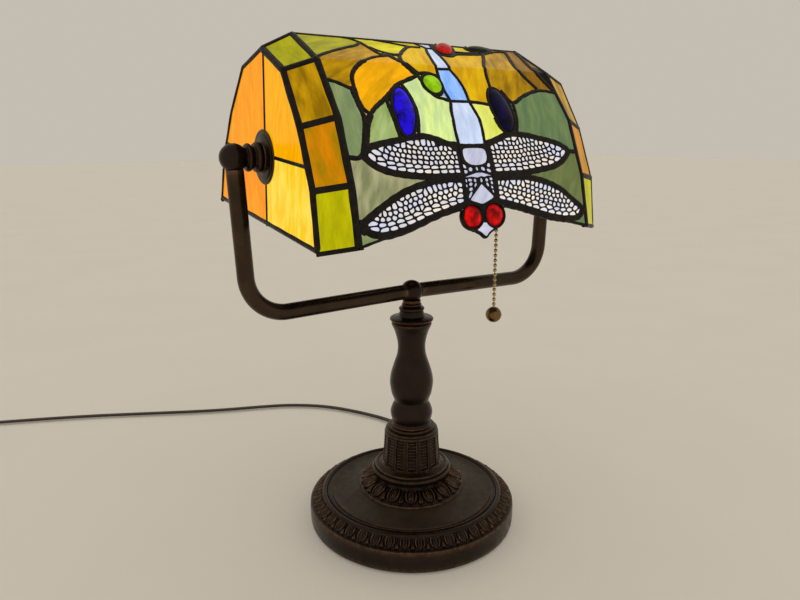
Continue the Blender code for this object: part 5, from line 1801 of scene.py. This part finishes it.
def back_glass():
    leads, panes = back_design()
    outline = [(-GLASS_X, GLASS_TOP), (-GLASS_X, BACK_CORNER), (GLASS_X, BACK_CORNER),
               (GLASS_X, GLASS_TOP)]
    barrel_panes("back_panes", 1, leads, panes, outline, [], "back_glass")
    solder("back_leading", [lead_line(points, BACK_SWELL * width, side=1, smooth=False)
                            for width, points in leads])


def shade():
    front_glass()
    back_glass()
    front_leads()
    for gem in GEMS:
        cabochon(gem)
    eye_gems()
    filigrees()
    border_panes()
    end_panes()
    side_leading()
    ridge_lead()
    rims()


# ---------------------------------------------------------------- socket, bulb and chain

# The chain's frame: its Z axis points down the chain from the tilt axis
CHAIN_AIM = (Matrix.Translation((CHAIN_X, 0, PIVOT_Z))
             @ Matrix.Rotation(math.pi - CHAIN_LEAN, 4, "X"))


def lamp_socket():
    """Bronzed socket in two parts, and the bell mouth that the chain comes out of."""
    cap = [(0.0043, 0.1065), (0.0066, 0.1065), (0.0069, 0.1058), (0.0070, 0.1020)]
    cap += arc(0.0094, 0.0945, 0.0070, 82, 4, 12)
    cap += [(0.0166, 0.0940), (0.0166, 0.0884), (0.0154, 0.0883), (0.0154, 0.0940),
            (0.0100, 0.0985), (0.0043, 0.0985)]
    shell = [(0.0158, 0.0880), (0.0168, 0.0880), (0.0170, 0.0872), (0.0168, 0.0862),
             (0.0168, 0.0600), (0.0171, 0.0592), (0.0168, 0.0584), (0.0168, 0.0495)]
    shell += arc(0.0168, 0.0486, 0.0008, 90, -90, 8) + [(0.0158, 0.0478)]
    mouth = [(0.0044, 0.0279), (0.0049, 0.0277), (0.0048, 0.0268), (0.0038, 0.0252),
             (0.0034, 0.0240), (0.0031, 0.0225), (0.0031, 0.0160), (0.0024, 0.0160),
             (0.0024, 0.0240), (0.0036, 0.0270)]
    for name, profile, steps, node, place in (
            ("socket_dome", cap, 72, "socket_cap", sideways(1)),
            ("socket_barrel", shell, 72, "socket_shell", sideways(1)),
            ("chain_bell", mouth, 40, "chain_guide", CHAIN_AIM)):
        lathe(name, profile, steps, BLACK_BRASS, (node,), slot="brass", ring=True, matrix=place)


def bulb():
    """Hollow frosted bulb and its screw base."""
    end = 0.0437
    glass = arc(0, -0.0070, 0.0280, -90, 42, 22) + [(0.0174, 0.0228), (0.0126, 0.0378)]
    glass += [(0.0118, end), (0.0128, end), (0.0130, 0.0410), (0.0136, 0.0380), (0.0158, 0.0300)]
    glass += arc(0, -0.0070, 0.0290, 44, -90, 26)
    lathe("frosted_bulb", glass, 72, BULB, ("bulb_glass",), slot="bulb_glass",
          matrix=sideways(1))
    thread = [(0, 0.0720), (0.0042, 0.0718), (0.0050, 0.0700), (0.0082, 0.0684)]
    for i in range(7):
        near = 0.0672 - 0.0030 * i
        thread += [(0.0131, near), (0.0131, near - 0.0008), (0.0125, near - 0.0015),
                   (0.0125, near - 0.0022)]
    thread += [(0.0131, 0.0450), (0.0131, 0.0440), (0.0121, 0.0440), (0.0121, 0.0660), (0, 0.0670)]
    lathe("screw_base", thread, 60, STEEL, ("bulb_base",), slot="steel", matrix=sideways(1))


CHAIN_WIRE = 0.0005


def beads(centres, start, end):
    """Profile of a ball chain along -Z: beads joined by a fine wire."""
    profile = [(0, start), (CHAIN_WIRE, start)]
    tilt = math.degrees(math.acos(CHAIN_WIRE / CHAIN_BEAD))
    for middle in centres:
        profile += arc(0, middle, CHAIN_BEAD, tilt, -tilt, 12)
    return profile + [(CHAIN_WIRE, end), (0, end)]


def chain():
    """Beads inside the guide, the hanging beads, and the ball at their end."""
    link = beads([LINK_END, 0.0254, 0.0212], LINK_END + 0.0016, 0.0196)
    lathe("ball_link", link, 20, CHAIN_BRASS, ("pull_link",), LINK_BODY, "brass",
          matrix=CHAIN_AIM)
    top = Matrix.Translation((CHAIN_X, -math.sin(CHAIN_LEAN) * LINK_END,
                              PIVOT_Z - math.cos(CHAIN_LEAN) * LINK_END))
    bottom = -CHAIN_PITCH * CHAIN_BEADS - 0.0022
    line = beads([-CHAIN_PITCH * i for i in range(1, CHAIN_BEADS + 1)],
                 -CHAIN_BEAD - 0.0003, bottom)
    lathe("ball_chain", line, 20, CHAIN_BRASS, ("pull_chain",), CHAIN_BODY, matrix=top,
          smooth=50.0)
    neck = bottom - 0.0003
    centre = neck - CHAIN_BALL
    knob = [(0, neck), (0.0018, neck), (0.0022, neck - 0.0005)]
    knob += arc(0, centre, CHAIN_BALL, 68, 8, 16) + arc(0, centre, CHAIN_BALL * 1.01, 6, -6, 4)
    knob += arc(0, centre, CHAIN_BALL, -8, -90, 20)
    lathe("chain_knob", knob, 56, KNOB_BRASS, ("chain_ball",), CHAIN_BODY, matrix=top)


def inner_finishes():
    """Better materials for the model's own pieces that stay as they are."""
    finishes = {"base_weight": IRON, "socket_block": INSULATOR, "rod_nut": STEEL,
                "rod_washer": STEEL, "column_rod": STEEL, "plug_blade_left": BRASS,
                "plug_blade_right": BRASS}
    for _, name in SIDES:
        for part in ("pivot_stud_", "spring_washer_", "lock_nut_"):
            finishes[part + name] = STEEL
    for name, mat in finishes.items():
        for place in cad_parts[name].material_slots:
            place.material = mat


camera()
stage()
lights()
coil_tie()
plug()
flex()
gland()
foot()
dish()
fluted_sleeve()
turned_vase()
ringed_cap()
hub()
yoke()
pivots()
shade()
lamp_socket()
bulb()
chain()
inner_finishes()
